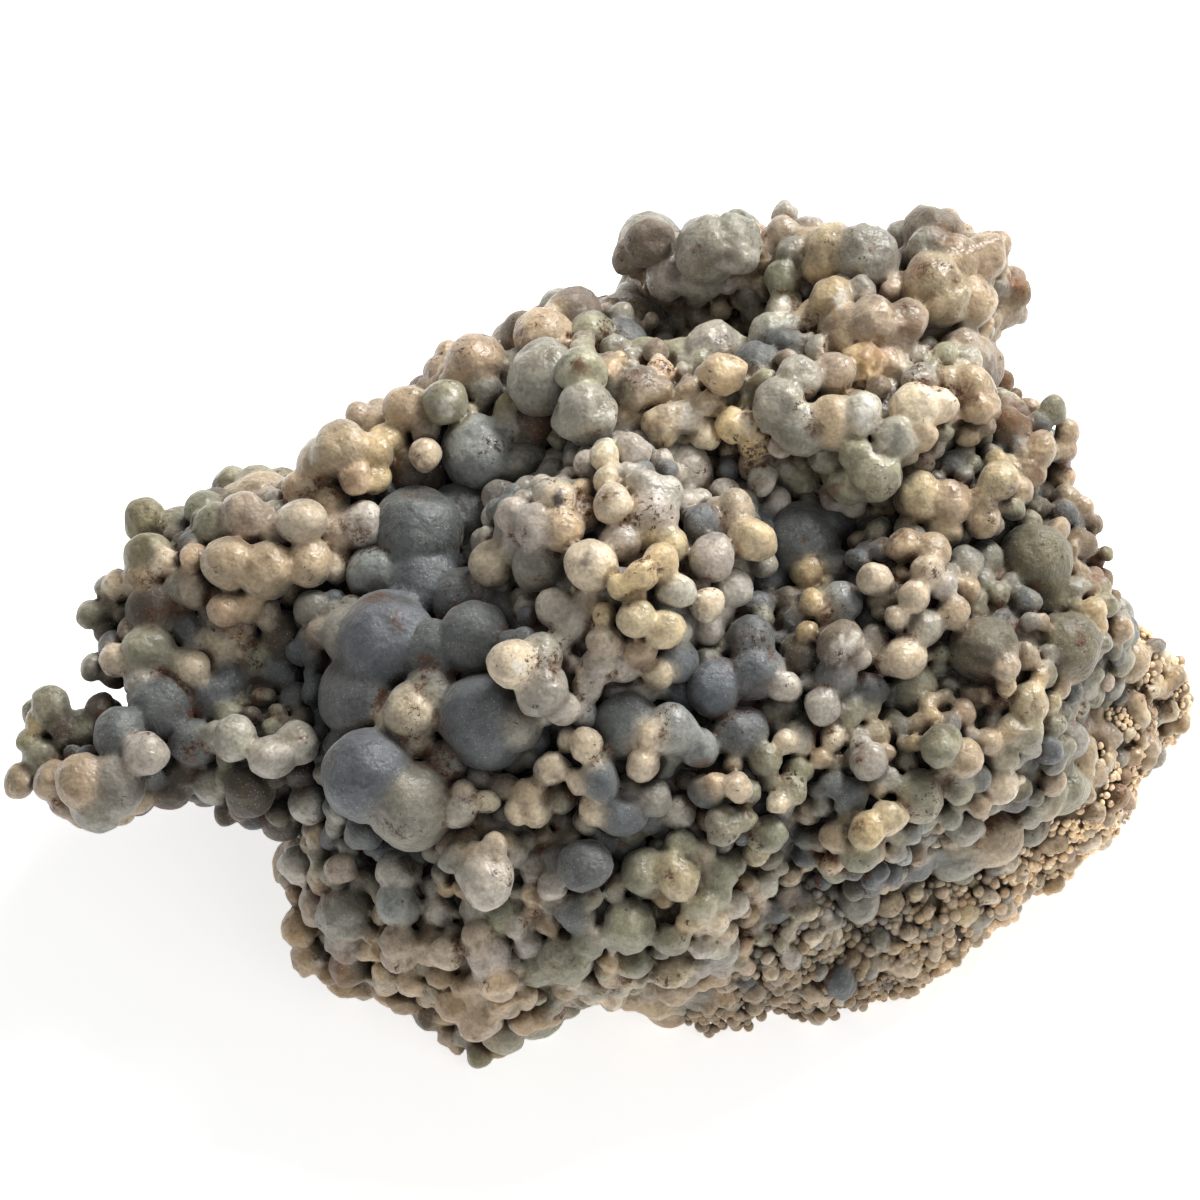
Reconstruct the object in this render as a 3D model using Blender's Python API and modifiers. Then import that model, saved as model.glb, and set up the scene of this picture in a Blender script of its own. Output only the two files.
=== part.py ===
"""Grape agate: a cluster of small round chalcedony grapes that grew together over a crust of rock.

It is one solid. Rounded masses make its body, and round grapes sit on them, fused where they touch.
Its back, where it was cut from the rock, is the flat face at z = 0 that it rests on.

Sizes are in mm until the mesh is made, and the mesh is in metres. X runs to the right, Y to the far side
and Z up. The masses and grapes that show from above the near side are listed by their places on a map:
the cluster as seen from an eye on that side, with its x to the right and its y downward.
"""

import math

import bmesh
import bpy
import numpy as np

METRES_PER_MM = 0.001

# The map is drawn at eight units to a millimetre, for an eye 60 degrees above the near side.
MAP_SCALE = 8.0
MAP_CENTRE = (600.0, 600.0)
EYE_DISTANCE = 450.0
EYE_ELEVATION = math.radians(60.0)
TARGET = np.array((0.0, -11.0, 28.0))

# The cluster's own middle, which is moved to x = y = 0.
ORIGIN = (2.04, -6.31)

FILL_SEED = 41
FILL_PASSES = [(3.6, 6000), (2.4, 12000), (1.6, 16000)]
FILL_SIZE = {"skirt": 0.45, "foot": 0.85, "core": 1.15}
SEEN_FILL = 1.9
FILL_FLOOR = 1.0
FILL_ROOM = 0.15

STEM = 0.72
SMALLEST_MODELLED = 0.8
FUSE_SIZE = 0.0009
MOST_TRIANGLES = 9200
CUTTER_SIZE = (0.3, 0.3, 0.05)

# Masses: x, y on the map, height of the centre, half width, half height, in mm.
MASSES = {
    "arm": [
        (94, 778, 26, 4.2, 4.3), (143, 748, 27, 5.7, 4.9), (200, 732, 26, 6.7, 5.9),
        (272, 752, 26, 8.2, 7.3), (165, 643, 30, 6.4, 4.5), (180, 579, 33, 5.5, 3.7),
        (240, 565, 34, 8, 6), (240, 690, 26, 8, 5), (125, 620, 30, 2.3, 2.6), (263, 515, 29, 4.6, 3.8),
        (190, 554, 30, 4, 2.3), (58, 740, 26, 2.7, 2.9), (300, 650, 28, 8, 6),
    ],
    "brow": [
        (313, 537, 35, 6.7, 6.9), (366, 484, 37, 6.3, 7.7), (438, 453, 38, 7.1, 8.5),
        (486, 412, 38, 7.1, 8.5), (564, 374, 39, 7.2, 8.6), (624, 354, 38, 4.9, 7.4),
        (500, 450, 34, 10, 12),
    ],
    "crown": [
        (658, 267, 44, 2.6, 5), (724, 277, 42, 5.5, 8.7), (791, 289, 42, 6.5, 9.7),
        (842, 304, 42, 6.5, 9.8), (935, 295, 42, 7.3, 9.7), (963, 296, 40, 4.6, 10),
        (870, 345, 44, 8, 10), (925, 345, 42, 7, 9.3), (700, 350, 28, 11, 10), (780, 360, 30, 9, 9),
    ],
    "ledge": [
        (590, 405, 45, 7, 8), (660, 410, 45, 6, 7), (730, 410, 46, 6, 7), (800, 415, 46, 9, 9),
        (870, 440, 45, 9, 10), (925, 420, 45, 8, 9), (997, 446, 36, 4.1, 7.5), (700, 470, 36, 10, 9),
    ],
    "heart": [
        (420, 560, 31, 12, 11), (385, 660, 28, 12, 13), (400, 785, 25, 11, 13), (480, 690, 31, 12, 13),
    ],
    "cluster": [
        (560, 560, 42, 9, 11), (620, 520, 44, 8, 11), (640, 620, 42, 10, 12), (705, 570, 41, 8, 11),
        (550, 690, 37, 10, 12), (740, 535, 36, 9, 11),
    ],
    "flank": [
        (800, 560, 32, 13, 13), (730, 690, 33, 12, 13), (820, 690, 33, 11, 13), (900, 620, 36, 11, 13),
        (960, 525, 38, 9, 11), (1007, 475, 37, 5.7, 9.9), (1029, 577, 30, 7.7, 11.9),
        (1060, 650, 26, 7, 13), (980, 680, 30, 11, 15), (930, 765, 29, 9, 13), (850, 800, 28, 10, 13),
        (740, 795, 29, 11, 13), (620, 765, 31, 12, 13), (1000, 755, 27, 7, 12),
    ],
    "foot": [
        (500, 835, 25, 11, 13), (353, 867, 16, 6.5, 11.7), (357, 928, 10, 5.9, 9.2),
        (423, 919, 14, 8.9, 12), (500, 930, 15, 11, 13), (590, 901, 20, 10.6, 14.6),
        (680, 900, 21, 9, 13), (488, 994, 6, 5.6, 7.8), (572, 942, 8, 6.6, 8.1),
        (655, 953, 9, 4.8, 9.1),
    ],
    "skirt": [
        (760, 905, 11, 11, 13), (718, 958, 4, 8.3, 9.4), (818, 942, 3, 9.2, 10.3),
        (896, 898, 5, 10.2, 11.3), (954, 854, 7, 9.7, 10.9), (881, 952, 0, 6.6, 6.8),
        (1046, 786, 9, 9.4, 12.5), (1086, 736, 9, 8.3, 11.6), (1112, 685, 11, 6.7, 10.9),
        (1151, 705, 6, 4.4, 10.5), (1090, 797, 3, 5.3, 7.4), (1029, 839, 2, 6.5, 7.7),
    ],
    "core": [
        (625, 563, 12, 30, 24), (873, 527, 12, 21, 22), (777, 440, 14, 24, 20), (590, 470, 20, 15, 15),
        (930, 430, 22, 12, 16), (700, 350, 24, 14, 14),
    ],
}

# Grapes: x, y and radius on the map, how far the centre stands out, in radii, and the tint.
GRAPES = {
    "arm": [
        (50, 708, 21, 0.6, "sage"), (36, 722, 13, 1.0, "honey"), (62, 722, 14, 0.8, "umber"),
        (30, 742, 14, 0.8, "moss"), (45, 757, 22, 0.5, "sage"), (85, 730, 22, 0.8, "sage"),
        (101, 706, 15, 0.2, "umber"), (120, 737, 27, 0.6, "slate"), (147, 755, 23, 1.6, "pearl"),
        (20, 780, 17, 0.8, "beige"), (55, 782, 22, 0.8, "beige"), (84, 784, 28, 1.0, "beige"),
        (115, 786, 31, 1.0, "ash"), (98, 803, 28, 1.0, "ash"), (138, 798, 19, 0.9, "beige"),
        (64, 803, 17, 0.9, "beige"), (80, 812, 16, 0.9, "beige"), (122, 812, 16, 0.8, "beige"),
        (168, 788, 24, 0.3, "umber"),
        (143, 520, 22, 0.8, "moss"), (150, 556, 26, 0.6, "moss"), (142, 580, 22, 0.5, "beige"),
        (232, 486, 20, 0.2, "sage"), (258, 489, 24, 0.2, "sage"), (286, 484, 20, 0.2, "sage"),
        (205, 508, 20, 0.2, "sage"), (180, 532, 24, 0.2, "sage"), (218, 528, 24, 0.3, "sage"),
        (238, 498, 16, 1.2, "peach"), (247, 520, 27, 1.0, "rose"), (164, 563, 15, 1.4, "cream"),
        (195, 560, 15, 1.4, "peach"), (230, 562, 28, 1.2, "beige"), (266, 570, 30, 1.3, "beige"),
        (290, 586, 20, 1.0, "beige"), (301, 521, 25, 1.6, "cream"), (280, 535, 20, 0.8, "rose"),
        (198, 592, 18, 0.9, "rose"), (183, 590, 20, 0.5, "ash"), (118, 582, 16, 0.9, "cream"),
        (107, 586, 13, 0.5, "sage"), (91, 612, 15, 0.6, "sage"), (108, 632, 15, 0.3, "umber"),
        (225, 610, 19, 2.0, "peach"), (247, 607, 17, 1.9, "peach"), (265, 612, 16, 1.8, "cream"),
        (238, 625, 17, 1.7, "peach"), (222, 642, 25, 1.2, "cream"), (242, 645, 20, 1.1, "cream"),
        (258, 650, 17, 0.8, "sage"), (222, 668, 17, 0.6, "cream"),
        (155, 612, 30, 0.1, "umber"), (190, 627, 18, 0.3, "slate"), (150, 652, 28, 0.3, "sage"),
        (118, 660, 18, 1.4, "cream"), (93, 667, 14, 0.8, "ash"), (116, 677, 15, 0.4, "umber"),
        (145, 682, 21, 1.0, "pearl"), (178, 662, 17, 0.8, "sage"), (192, 668, 18, 1.5, "cream"),
        (285, 635, 25, 0.4, "umber"), (256, 664, 18, 0.3, "sage"), (230, 682, 24, 0.2, "slate"),
        (281, 673, 20, 0.1, "slate"), (213, 697, 28, 0.0, "slate"), (160, 708, 34, 0.5, "slate"),
        (295, 700, 19, 0.3, "slate"), (300, 770, 18, 0.2, "umber"), (195, 742, 25, 0.1, "slate"),
        (180, 775, 22, 0.2, "umber"), (213, 785, 22, 1.0, "ash"), (219, 738, 18, 1.2, "ash"),
        (235, 738, 23, 1.7, "pearl"), (273, 757, 24, 1.7, "pearl"), (297, 743, 23, 1.8, "pearl"),
        (283, 721, 4, 2.6, "cream"), (250, 788, 26, 0.3, "umber"), (228, 814, 15, 0.3, "umber"),
        (255, 815, 17, 0.2, "slate"), (285, 820, 22, 0.2, "umber"), (308, 802, 21, 1.4, "pearl"),
    ],
    "brow": [
        (325, 465, 28, 0.6, "beige"), (342, 452, 30, 0.8, "beige"), (357, 417, 14, 0.3, "rose"),
        (377, 411, 13, 0.2, "rose"), (383, 430, 25, 0.8, "beige"), (410, 408, 26, 0.7, "beige"),
        (445, 405, 24, 1.2, "sage"), (372, 456, 22, 0.8, "honey"), (388, 442, 20, 1.0, "honey"),
        (355, 480, 18, 1.8, "peach"), (373, 482, 17, 1.2, "honey"), (305, 490, 22, 0.6, "beige"),
        (332, 505, 18, 0.9, "beige"), (425, 455, 18, 1.9, "cream"), (415, 476, 30, 0.1, "umber"),
        (440, 372, 18, 0.6, "rose"), (448, 356, 15, 0.3, "beige"), (476, 361, 30, 0.7, "beige"),
        (483, 389, 17, 0.9, "ash"), (457, 385, 18, 0.7, "beige"), (365, 526, 24, 1.4, "pearl"),
        (341, 532, 24, 1.0, "rose"), (309, 562, 24, 1.7, "beige"), (336, 565, 18, 2.0, "cream"),
        (480, 455, 38, 0.5, "mist"), (520, 465, 27, 0.7, "ash"), (511, 412, 18, 0.9, "moss"),
        (515, 425, 22, 0.6, "ash"), (538, 425, 24, 0.4, "umber"), (545, 378, 38, 0.5, "ash"),
        (518, 375, 26, 0.5, "ash"), (525, 335, 24, 0.5, "taupe"), (557, 315, 14, 1.1, "cream"),
        (572, 314, 29, 0.3, "taupe"), (612, 310, 15, 0.3, "ash"), (637, 308, 27, 0.6, "lilac"),
        (590, 338, 26, 0.5, "sage"), (622, 346, 28, 0.5, "slate"), (560, 462, 26, 0.0, "slate"),
    ],
    "ledge": [
        (580, 372, 25, 1.2, "sage"), (585, 415, 32, 1.1, "ash"), (609, 366, 11, 1.6, "peach"),
        (619, 358, 8, 2.2, "peach"), (638, 387, 22, 0.9, "ash"), (660, 390, 14, 0.8, "taupe"),
        (659, 363, 8, 0.9, "pearl"), (662, 336, 5, 1.0, "rose"), (692, 387, 14, 0.8, "ash"),
        (622, 440, 24, 0.9, "lilac"), (632, 452, 18, 1.1, "lilac"), (661, 425, 20, 1.3, "cream"),
        (663, 435, 18, 1.6, "honey"), (682, 420, 19, 1.5, "pearl"), (683, 443, 14, 1.8, "cream"),
        (705, 437, 17, 1.4, "cream"), (722, 373, 23, 1.5, "peach"), (690, 395, 16, 0.9, "rose"),
        (708, 405, 16, 0.8, "rose"), (731, 424, 17, 1.4, "honey"), (748, 421, 12, 2.2, "cream"),
        (733, 446, 5, 2.0, "rose"), (757, 440, 18, 0.9, "honey"), (780, 405, 27, 0.9, "ash"),
        (800, 378, 22, 0.8, "ash"), (800, 428, 28, 0.9, "ash"), (779, 446, 13, 1.9, "pearl"),
        (822, 455, 15, 1.2, "ash"), (835, 420, 28, 1.0, "beige"), (862, 412, 22, 1.3, "pearl"),
        (857, 450, 17, 1.9, "sage"), (835, 372, 22, 0.8, "rose"), (862, 366, 23, 0.8, "honey"),
        (887, 366, 20, 0.8, "rose"), (895, 440, 24, 1.0, "ash"), (850, 482, 22, 1.3, "sage"),
        (875, 475, 27, 1.4, "sage"), (835, 498, 18, 1.0, "lilac"), (855, 500, 15, 1.0, "ash"),
        (762, 483, 15, 1.2, "pearl"), (758, 465, 18, 0.8, "rose"), (905, 455, 13, 1.8, "sage"),
        (800, 480, 22, 0.2, "sage"), (866, 520, 18, 0.2, "umber"), (915, 408, 26, 1.2, "cream"),
        (938, 402, 20, 1.3, "cream"), (915, 432, 22, 1.1, "beige"), (938, 446, 9, 1.0, "pearl"),
    ],
    "crown": [
        (650, 240, 26, 0.8, "taupe"), (632, 254, 20, 0.6, "taupe"), (632, 276, 6, 1.4, "honey"),
        (668, 278, 24, 0.8, "lilac"), (681, 275, 17, 1.4, "ash"), (708, 252, 32, 0.8, "ash"),
        (735, 240, 26, 0.7, "ash"), (700, 275, 26, 0.5, "lilac"), (738, 254, 20, 1.4, "pearl"),
        (756, 242, 18, 0.9, "peach"), (785, 214, 14, 0.6, "lilac"), (783, 233, 16, 0.8, "rose"),
        (810, 232, 16, 0.4, "lilac"), (790, 253, 17, 0.5, "ash"), (782, 278, 20, 0.8, "sage"),
        (783, 308, 20, 1.7, "sage"), (758, 316, 12, 1.2, "ash"), (769, 338, 18, 1.4, "pearl"),
        (832, 252, 28, 0.8, "straw"), (866, 258, 35, 0.8, "ash"), (822, 268, 20, 1.0, "honey"),
        (832, 300, 20, 1.6, "honey"), (785, 345, 20, 0.0, "slate"), (755, 366, 24, 0.2, "slate"),
        (735, 335, 18, 0.1, "slate"), (845, 332, 28, 0.5, "beige"), (933, 232, 30, 0.7, "taupe"),
        (906, 240, 20, 0.6, "ash"), (930, 250, 22, 0.8, "ash"), (955, 258, 24, 0.8, "beige"),
        (983, 258, 26, 0.9, "beige"), (998, 243, 13, 0.9, "beige"), (920, 258, 16, 1.4, "pearl"),
        (935, 292, 36, 0.7, "beige"), (970, 300, 28, 0.8, "beige"), (1000, 305, 22, 0.7, "beige"),
        (1018, 288, 15, 0.5, "rust"), (1018, 310, 12, 0.5, "beige"), (905, 320, 24, 1.1, "rose"),
        (875, 322, 28, 0.7, "rose"), (903, 348, 17, 1.5, "rose"), (924, 350, 15, 1.0, "ash"),
        (962, 352, 24, 1.0, "rose"), (976, 342, 11, 1.5, "peach"), (920, 382, 20, 0.6, "lilac"),
        (974, 386, 20, 1.3, "peach"), (979, 407, 19, 1.6, "peach"), (1000, 380, 13, 0.6, "rust"),
        (1014, 398, 9, 1.0, "rust"),
    ],
    "heart": [
        (375, 574, 28, 0.8, "mist"), (418, 532, 46, 0.2, "slate"), (425, 586, 46, 0.2, "blue"),
        (463, 520, 36, 0.0, "slate"), (388, 640, 50, 0.45, "blue"), (348, 638, 28, 0.2, "ash"),
        (315, 608, 20, 1.0, "ash"), (322, 636, 16, 0.8, "rose"), (468, 600, 34, 0.3, "slate"),
        (475, 636, 36, 0.6, "slate"), (432, 652, 32, 0.5, "slate"), (500, 615, 28, 0.1, "slate"),
        (365, 697, 46, 0.5, "slate"), (332, 722, 27, 0.1, "slate"), (430, 690, 28, 0.6, "ash"),
        (411, 712, 29, 1.6, "cream"), (396, 722, 22, 1.2, "cream"), (415, 740, 21, 0.9, "rose"),
        (485, 720, 47, 0.5, "blue"), (520, 722, 25, 0.5, "ash"), (515, 755, 17, 0.9, "ash"),
        (490, 762, 14, 1.2, "pearl"), (368, 774, 46, 0.6, "blue"), (412, 806, 44, 0.8, "ash"),
        (448, 762, 23, 1.3, "ash"), (452, 755, 14, 1.8, "pearl"), (463, 790, 15, 2.0, "cream"),
        (459, 811, 18, 1.5, "pearl"), (486, 800, 14, 1.6, "cream"), (480, 560, 20, 0.9, "ash"),
        (491, 561, 23, 1.4, "cream"), (530, 583, 12, 1.6, "cream"), (538, 568, 26, 0.3, "ash"),
    ],
    "cluster": [
        (603, 459, 15.5, 1.8, "cream"), (607, 482, 14, 1.6, "cream"), (613, 505, 20, 1.8, "cream"),
        (581, 490, 12, 1.2, "peach"), (585, 515, 18, 0.9, "beige"), (559, 500, 18, 1.9, "cream"),
        (553, 497, 21, 1.3, "ash"), (516, 517, 20, 1.2, "lilac"), (537, 530, 24, 1.0, "lilac"),
        (562, 530, 24, 1.0, "beige"), (664, 495, 21, 1.6, "pearl"), (646, 487, 20, 1.2, "lilac"),
        (684, 502, 16, 1.3, "pearl"), (652, 518, 26, 1.3, "lilac"), (650, 532, 24, 1.5, "straw"),
        (672, 545, 18, 1.7, "straw"), (661, 562, 20, 2.2, "honey"), (643, 573, 18, 2.3, "honey"),
        (622, 583, 16, 2.2, "honey"), (640, 596, 9, 2.5, "honey"), (622, 545, 22, 0.8, "lilac"),
        (590, 565, 27, 1.7, "cream"), (577, 591, 7, 2.5, "cream"), (555, 611, 20, 1.6, "lilac"),
        (573, 621, 22, 1.3, "lilac"), (590, 604, 18, 0.6, "taupe"), (605, 613, 12.5, 1.9, "honey"),
        (636, 618, 20, 1.7, "straw"), (677, 592, 20, 1.5, "pearl"), (665, 633, 20, 1.7, "straw"),
        (606, 642, 20, 1.3, "rose"), (640, 652, 18, 1.2, "beige"), (601, 665, 20, 1.5, "lilac"),
        (625, 667, 17, 1.2, "pearl"), (583, 671, 8, 2.2, "cream"), (657, 676, 17, 1.6, "cream"),
        (588, 687, 16, 1.2, "lilac"), (615, 690, 16, 0.9, "lilac"), (640, 690, 17, 1.1, "pearl"),
        (512, 663, 27, 1.9, "cream"), (538, 660, 26, 1.1, "ash"), (543, 690, 28, 1.1, "ash"),
        (565, 712, 17, 1.5, "pearl"), (583, 712, 16, 1.1, "mist"), (675, 660, 22, 0.5, "blue"),
        (680, 690, 20, 0.4, "blue"), (725, 491, 15, 1.7, "lilac"), (735, 515, 21, 1.2, "rose"),
        (753, 540, 24, 1.7, "straw"), (713, 557, 23, 1.5, "lilac"), (736, 553, 8, 2.2, "honey"),
        (731, 588, 20, 1.4, "pearl"), (707, 604, 18, 1.9, "cream"), (702, 525, 19, 0.8, "slate"),
    ],
    "flank": [
        (800, 545, 40, 0.0, "slate"), (770, 575, 28, 0.0, "slate"), (830, 520, 25, -0.1, "slate"),
        (835, 570, 22, 0.1, "slate"), (807, 575, 16, 2.2, "honey"), (812, 603, 14, 2.3, "honey"),
        (807, 628, 12, 2.4, "honey"), (787, 605, 16, 1.4, "taupe"), (828, 612, 12, 1.6, "beige"),
        (843, 600, 20, 1.1, "mist"), (750, 640, 25, 0.7, "slate"), (705, 657, 14, 1.2, "sage"),
        (755, 672, 30, 0.4, "blue"), (715, 685, 30, 0.4, "blue"), (783, 688, 19, 1.5, "pearl"),
        (840, 645, 24, 1.1, "taupe"), (855, 660, 16, 1.2, "pearl"), (800, 650, 22, 0.2, "umber"),
        (835, 678, 24, 0.3, "slate"), (808, 680, 12, 0.8, "slate"), (870, 692, 20, 0.4, "slate"),
        (872, 640, 15, 1.1, "pearl"), (890, 658, 16, 1.6, "cream"), (905, 655, 22, 1.3, "cream"),
        (915, 688, 25, 0.8, "sage"), (822, 705, 19, 1.3, "pearl"), (848, 713, 18, 0.9, "sage"),
        (869, 710, 13, 1.3, "cream"), (785, 741, 13, 2.0, "cream"), (799, 739, 17, 1.6, "pearl"),
        (835, 736, 15, 1.5, "cream"), (822, 756, 12, 1.5, "peach"), (862, 743, 10, 2.4, "pearl"),
        (867, 761, 18, 1.5, "lilac"), (800, 770, 15, 1.1, "sage"), (790, 790, 16, 0.8, "sage"),
        (765, 760, 18, 0.6, "sage"), (778, 801, 12, 1.6, "cream"), (699, 747, 20, 1.4, "mist"),
        (655, 735, 18, 1.8, "cream"), (672, 731, 26, 1.2, "mist"), (645, 763, 17, 1.3, "cream"),
        (625, 725, 34, 0.1, "slate"), (740, 735, 28, 0.2, "slate"), (653, 798, 19, 0.8, "ash"),
        (678, 815, 17, 1.4, "pearl"), (706, 792, 18, 0.7, "slate"), (715, 783, 13, 1.6, "peach"),
        (736, 784, 16, 1.4, "cream"), (600, 780, 21, 0.9, "blue"), (594, 809, 16, 1.4, "cream"),
        (622, 813, 24, 0.6, "blue"), (630, 845, 18, 0.3, "slate"), (568, 741, 12, 2.2, "cream"),
        (585, 748, 17, 1.9, "cream"), (551, 770, 19, 2.0, "cream"), (541, 791, 10, 2.2, "cream"),
        (578, 783, 14, 1.9, "cream"), (560, 802, 16, 1.4, "sage"), (530, 795, 20, 1.4, "peach"),
        (536, 811, 16, 1.9, "cream"), (515, 811, 14, 1.4, "cream"), (505, 785, 17, 0.9, "taupe"),
        (480, 776, 15, 0.8, "ash"), (887, 735, 10, 0.5, "slate"), (915, 741, 10, 1.8, "honey"),
        (905, 745, 11, 1.0, "taupe"), (933, 717, 9, 1.2, "honey"), (940, 742, 22, 1.3, "sage"),
        (965, 758, 20, 1.3, "beige"), (990, 742, 15, 1.1, "beige"), (1002, 756, 17, 1.0, "sage"),
        (1000, 782, 20, 1.3, "cream"), (1017, 780, 8, 1.5, "cream"), (977, 803, 14, 0.9, "beige"),
        (960, 790, 15, 0.7, "sage"), (920, 795, 25, 1.1, "sage"), (1003, 668, 17, 1.3, "rose"),
        (1000, 650, 10, 1.2, "beige"), (1007, 687, 11, 2.0, "honey"), (1026, 652, 7, 1.6, "rose"),
        (985, 698, 9, 1.4, "beige"), (1004, 703, 8, 1.2, "beige"), (1040, 683, 11, 1.6, "honey"),
        (1030, 706, 22, 1.1, "straw"), (1050, 702, 12, 1.2, "straw"), (1012, 730, 16, 0.9, "beige"),
        (1028, 733, 18, 0.8, "sage"), (890, 818, 20, 1.5, "straw"), (868, 830, 20, 1.7, "honey"),
        (862, 853, 20, 1.5, "sage"), (836, 836, 18, 1.1, "beige"), (832, 862, 12, 1.6, "peach"),
        (838, 807, 7, 1.4, "sage"), (850, 795, 17, 0.4, "slate"), (910, 825, 14, 0.4, "mist"),
        (1052, 412, 15, 0.6, "sage"), (1030, 412, 14, 0.4, "beige"), (1068, 432, 13, 0.5, "beige"),
        (1062, 452, 16, 0.5, "beige"), (1008, 428, 22, 0.1, "rust"), (1040, 448, 17, 1.2, "beige"),
        (1030, 468, 17, 1.2, "beige"), (1018, 490, 15, 1.2, "beige"), (1000, 466, 15, 1.0, "honey"),
        (1000, 484, 22, 1.4, "straw"), (985, 500, 16, 1.2, "straw"), (918, 500, 26, 1.5, "straw"),
        (950, 502, 24, 0.8, "beige"), (945, 530, 20, 0.8, "beige"), (985, 522, 18, 1.0, "beige"),
        (994, 528, 12, 0.8, "lilac"), (930, 552, 20, 1.1, "beige"), (925, 572, 19, 1.3, "cream"),
        (912, 595, 18, 1.2, "cream"), (965, 564, 18, 0.8, "ash"), (985, 560, 18, 0.9, "ash"),
        (941, 587, 15, 0.9, "pearl"), (966, 588, 16, 0.8, "beige"), (953, 614, 18, 0.9, "beige"),
        (925, 628, 20, 0.6, "ash"), (986, 626, 10, 1.0, "cream"), (985, 650, 35, -0.2, "olive"),
        (1035, 560, 38, 0.4, "olive"), (1045, 592, 30, 0.3, "olive"), (1056, 528, 13, 1.1, "beige"),
        (1043, 500, 15, 0.5, "rust"), (1062, 478, 15, 0.4, "beige"), (1068, 500, 14, 0.3, "beige"),
        (1083, 508, 12, 0.3, "beige"), (1092, 524, 11, 0.3, "rust"), (1080, 545, 16, 0.2, "rust"),
        (1105, 552, 8, 0.4, "moss"), (1103, 577, 11, 0.3, "rust"), (1114, 592, 8, 0.3, "rust"),
        (1092, 612, 14, 1.2, "honey"), (1094, 628, 13, 1.1, "honey"), (1065, 645, 36, 0.6, "olive"),
        (904, 543, 18, 1.5, "peach"), (875, 575, 17, 1.6, "cream"), (895, 617, 14, 1.6, "cream"),
    ],
    "foot": [
        (300, 866, 22, 1.0, "pearl"), (340, 868, 17, 1.4, "rose"), (295, 896, 12, 0.7, "clay"),
        (301, 926, 20, 0.8, "clay"), (318, 903, 19, 1.0, "rose"), (350, 915, 32, 0.5, "ash"),
        (345, 942, 22, 0.7, "ash"), (311, 956, 19, 0.7, "clay"), (308, 970, 8, 1.0, "clay"),
        (348, 965, 22, 0.5, "rust"), (345, 988, 17, 0.8, "clay"), (362, 982, 20, 0.6, "clay"),
        (398, 872, 23, 1.4, "pearl"), (398, 903, 22, 1.1, "mist"), (437, 907, 17, 1.2, "pearl"),
        (365, 878, 17, 0.6, "umber"), (365, 832, 20, 0.4, "slate"), (475, 905, 16, 0.8, "ash"),
        (400, 938, 20, 1.1, "rose"), (400, 955, 18, 1.2, "rose"), (386, 975, 15, 1.1, "beige"),
        (411, 984, 15, 1.5, "peach"), (402, 1000, 14, 0.8, "clay"), (432, 945, 21, 0.7, "beige"),
        (444, 952, 18, 1.6, "cream"), (475, 940, 18, 1.0, "rose"), (440, 975, 14, 0.6, "clay"),
        (456, 859, 17, 1.5, "ash"), (493, 848, 15, 2.0, "cream"), (475, 858, 16, 1.6, "beige"),
        (485, 880, 29, 1.3, "pearl"), (515, 856, 15, 0.6, "ash"), (533, 868, 16, 0.7, "lilac"),
        (555, 888, 15, 0.9, "pearl"), (535, 895, 13, 0.9, "beige"), (585, 865, 27, 0.8, "slate"),
        (560, 862, 18, 0.4, "slate"), (522, 927, 15, 1.5, "pearl"), (527, 943, 15, 1.1, "pearl"),
        (505, 915, 22, 0.2, "sage"), (490, 955, 25, 0.1, "lilac"), (590, 932, 7, 1.4, "cream"),
        (575, 915, 20, 0.1, "slate"), (540, 965, 22, 0.5, "sage"), (565, 958, 28, 0.4, "sage"),
        (585, 945, 16, 0.7, "sage"), (572, 981, 12, 1.6, "cream"), (605, 967, 6, 2.0, "honey"),
        (612, 980, 12, 1.4, "beige"), (610, 992, 14, 1.3, "cream"), (635, 960, 20, 0.8, "sage"),
        (638, 980, 14, 1.0, "beige"), (655, 999, 22, 0.9, "honey"), (630, 925, 26, 0.8, "sage"),
        (645, 875, 24, 0.9, "sage"), (680, 846, 16, 1.4, "sage"), (672, 868, 16, 1.5, "straw"),
        (680, 880, 20, 1.3, "straw"), (705, 852, 13, 1.7, "cream"), (722, 822, 20, 1.1, "sage"),
        (745, 815, 14, 0.9, "sage"), (748, 790, 13, 1.0, "sage"), (720, 872, 20, 0.9, "sage"),
        (735, 862, 14, 1.1, "sage"), (770, 836, 20, 0.8, "sage"), (758, 852, 14, 1.0, "straw"),
        (718, 895, 14, 1.2, "sage"), (735, 903, 14, 1.0, "pearl"), (700, 905, 18, 0.9, "sage"),
        (712, 920, 14, 1.3, "cream"), (725, 931, 12, 1.1, "cream"), (672, 938, 18, 1.0, "sage"),
        (688, 922, 12, 1.3, "honey"), (700, 945, 15, 0.7, "pearl"), (700, 968, 15, 0.6, "lilac"),
        (673, 972, 20, 1.1, "straw"), (500, 985, 19, 1.2, "peach"), (455, 1003, 20, 0.9, "clay"),
        (480, 1015, 24, 0.8, "beige"), (505, 1003, 18, 0.8, "beige"), (525, 997, 14, 0.9, "beige"),
        (505, 1035, 21, 0.9, "sage"), (520, 1030, 9, 1.5, "honey"), (478, 1054, 14, 0.7, "moss"),
        (432, 1015, 15, 0.3, "umber"), (447, 1036, 12, 0.3, "clay"), (455, 1048, 8, 0.4, "clay"),
    ],
    "skirt": [
        (765, 885, 15, 1.3, "pearl"), (760, 905, 11, 1.0, "lilac"), (775, 912, 12, 0.5, "slate"),
        (788, 893, 15, 0.5, "taupe"), (800, 900, 12, 0.7, "ash"), (808, 914, 10, 1.3, "cream"),
        (795, 918, 10, 1.0, "sage"), (812, 882, 10, 1.0, "lilac"), (823, 911, 9, 1.0, "lilac"),
        (843, 901, 11, 0.9, "mist"), (862, 914, 9, 0.8, "ash"), (835, 932, 8, 1.4, "cream"),
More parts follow.
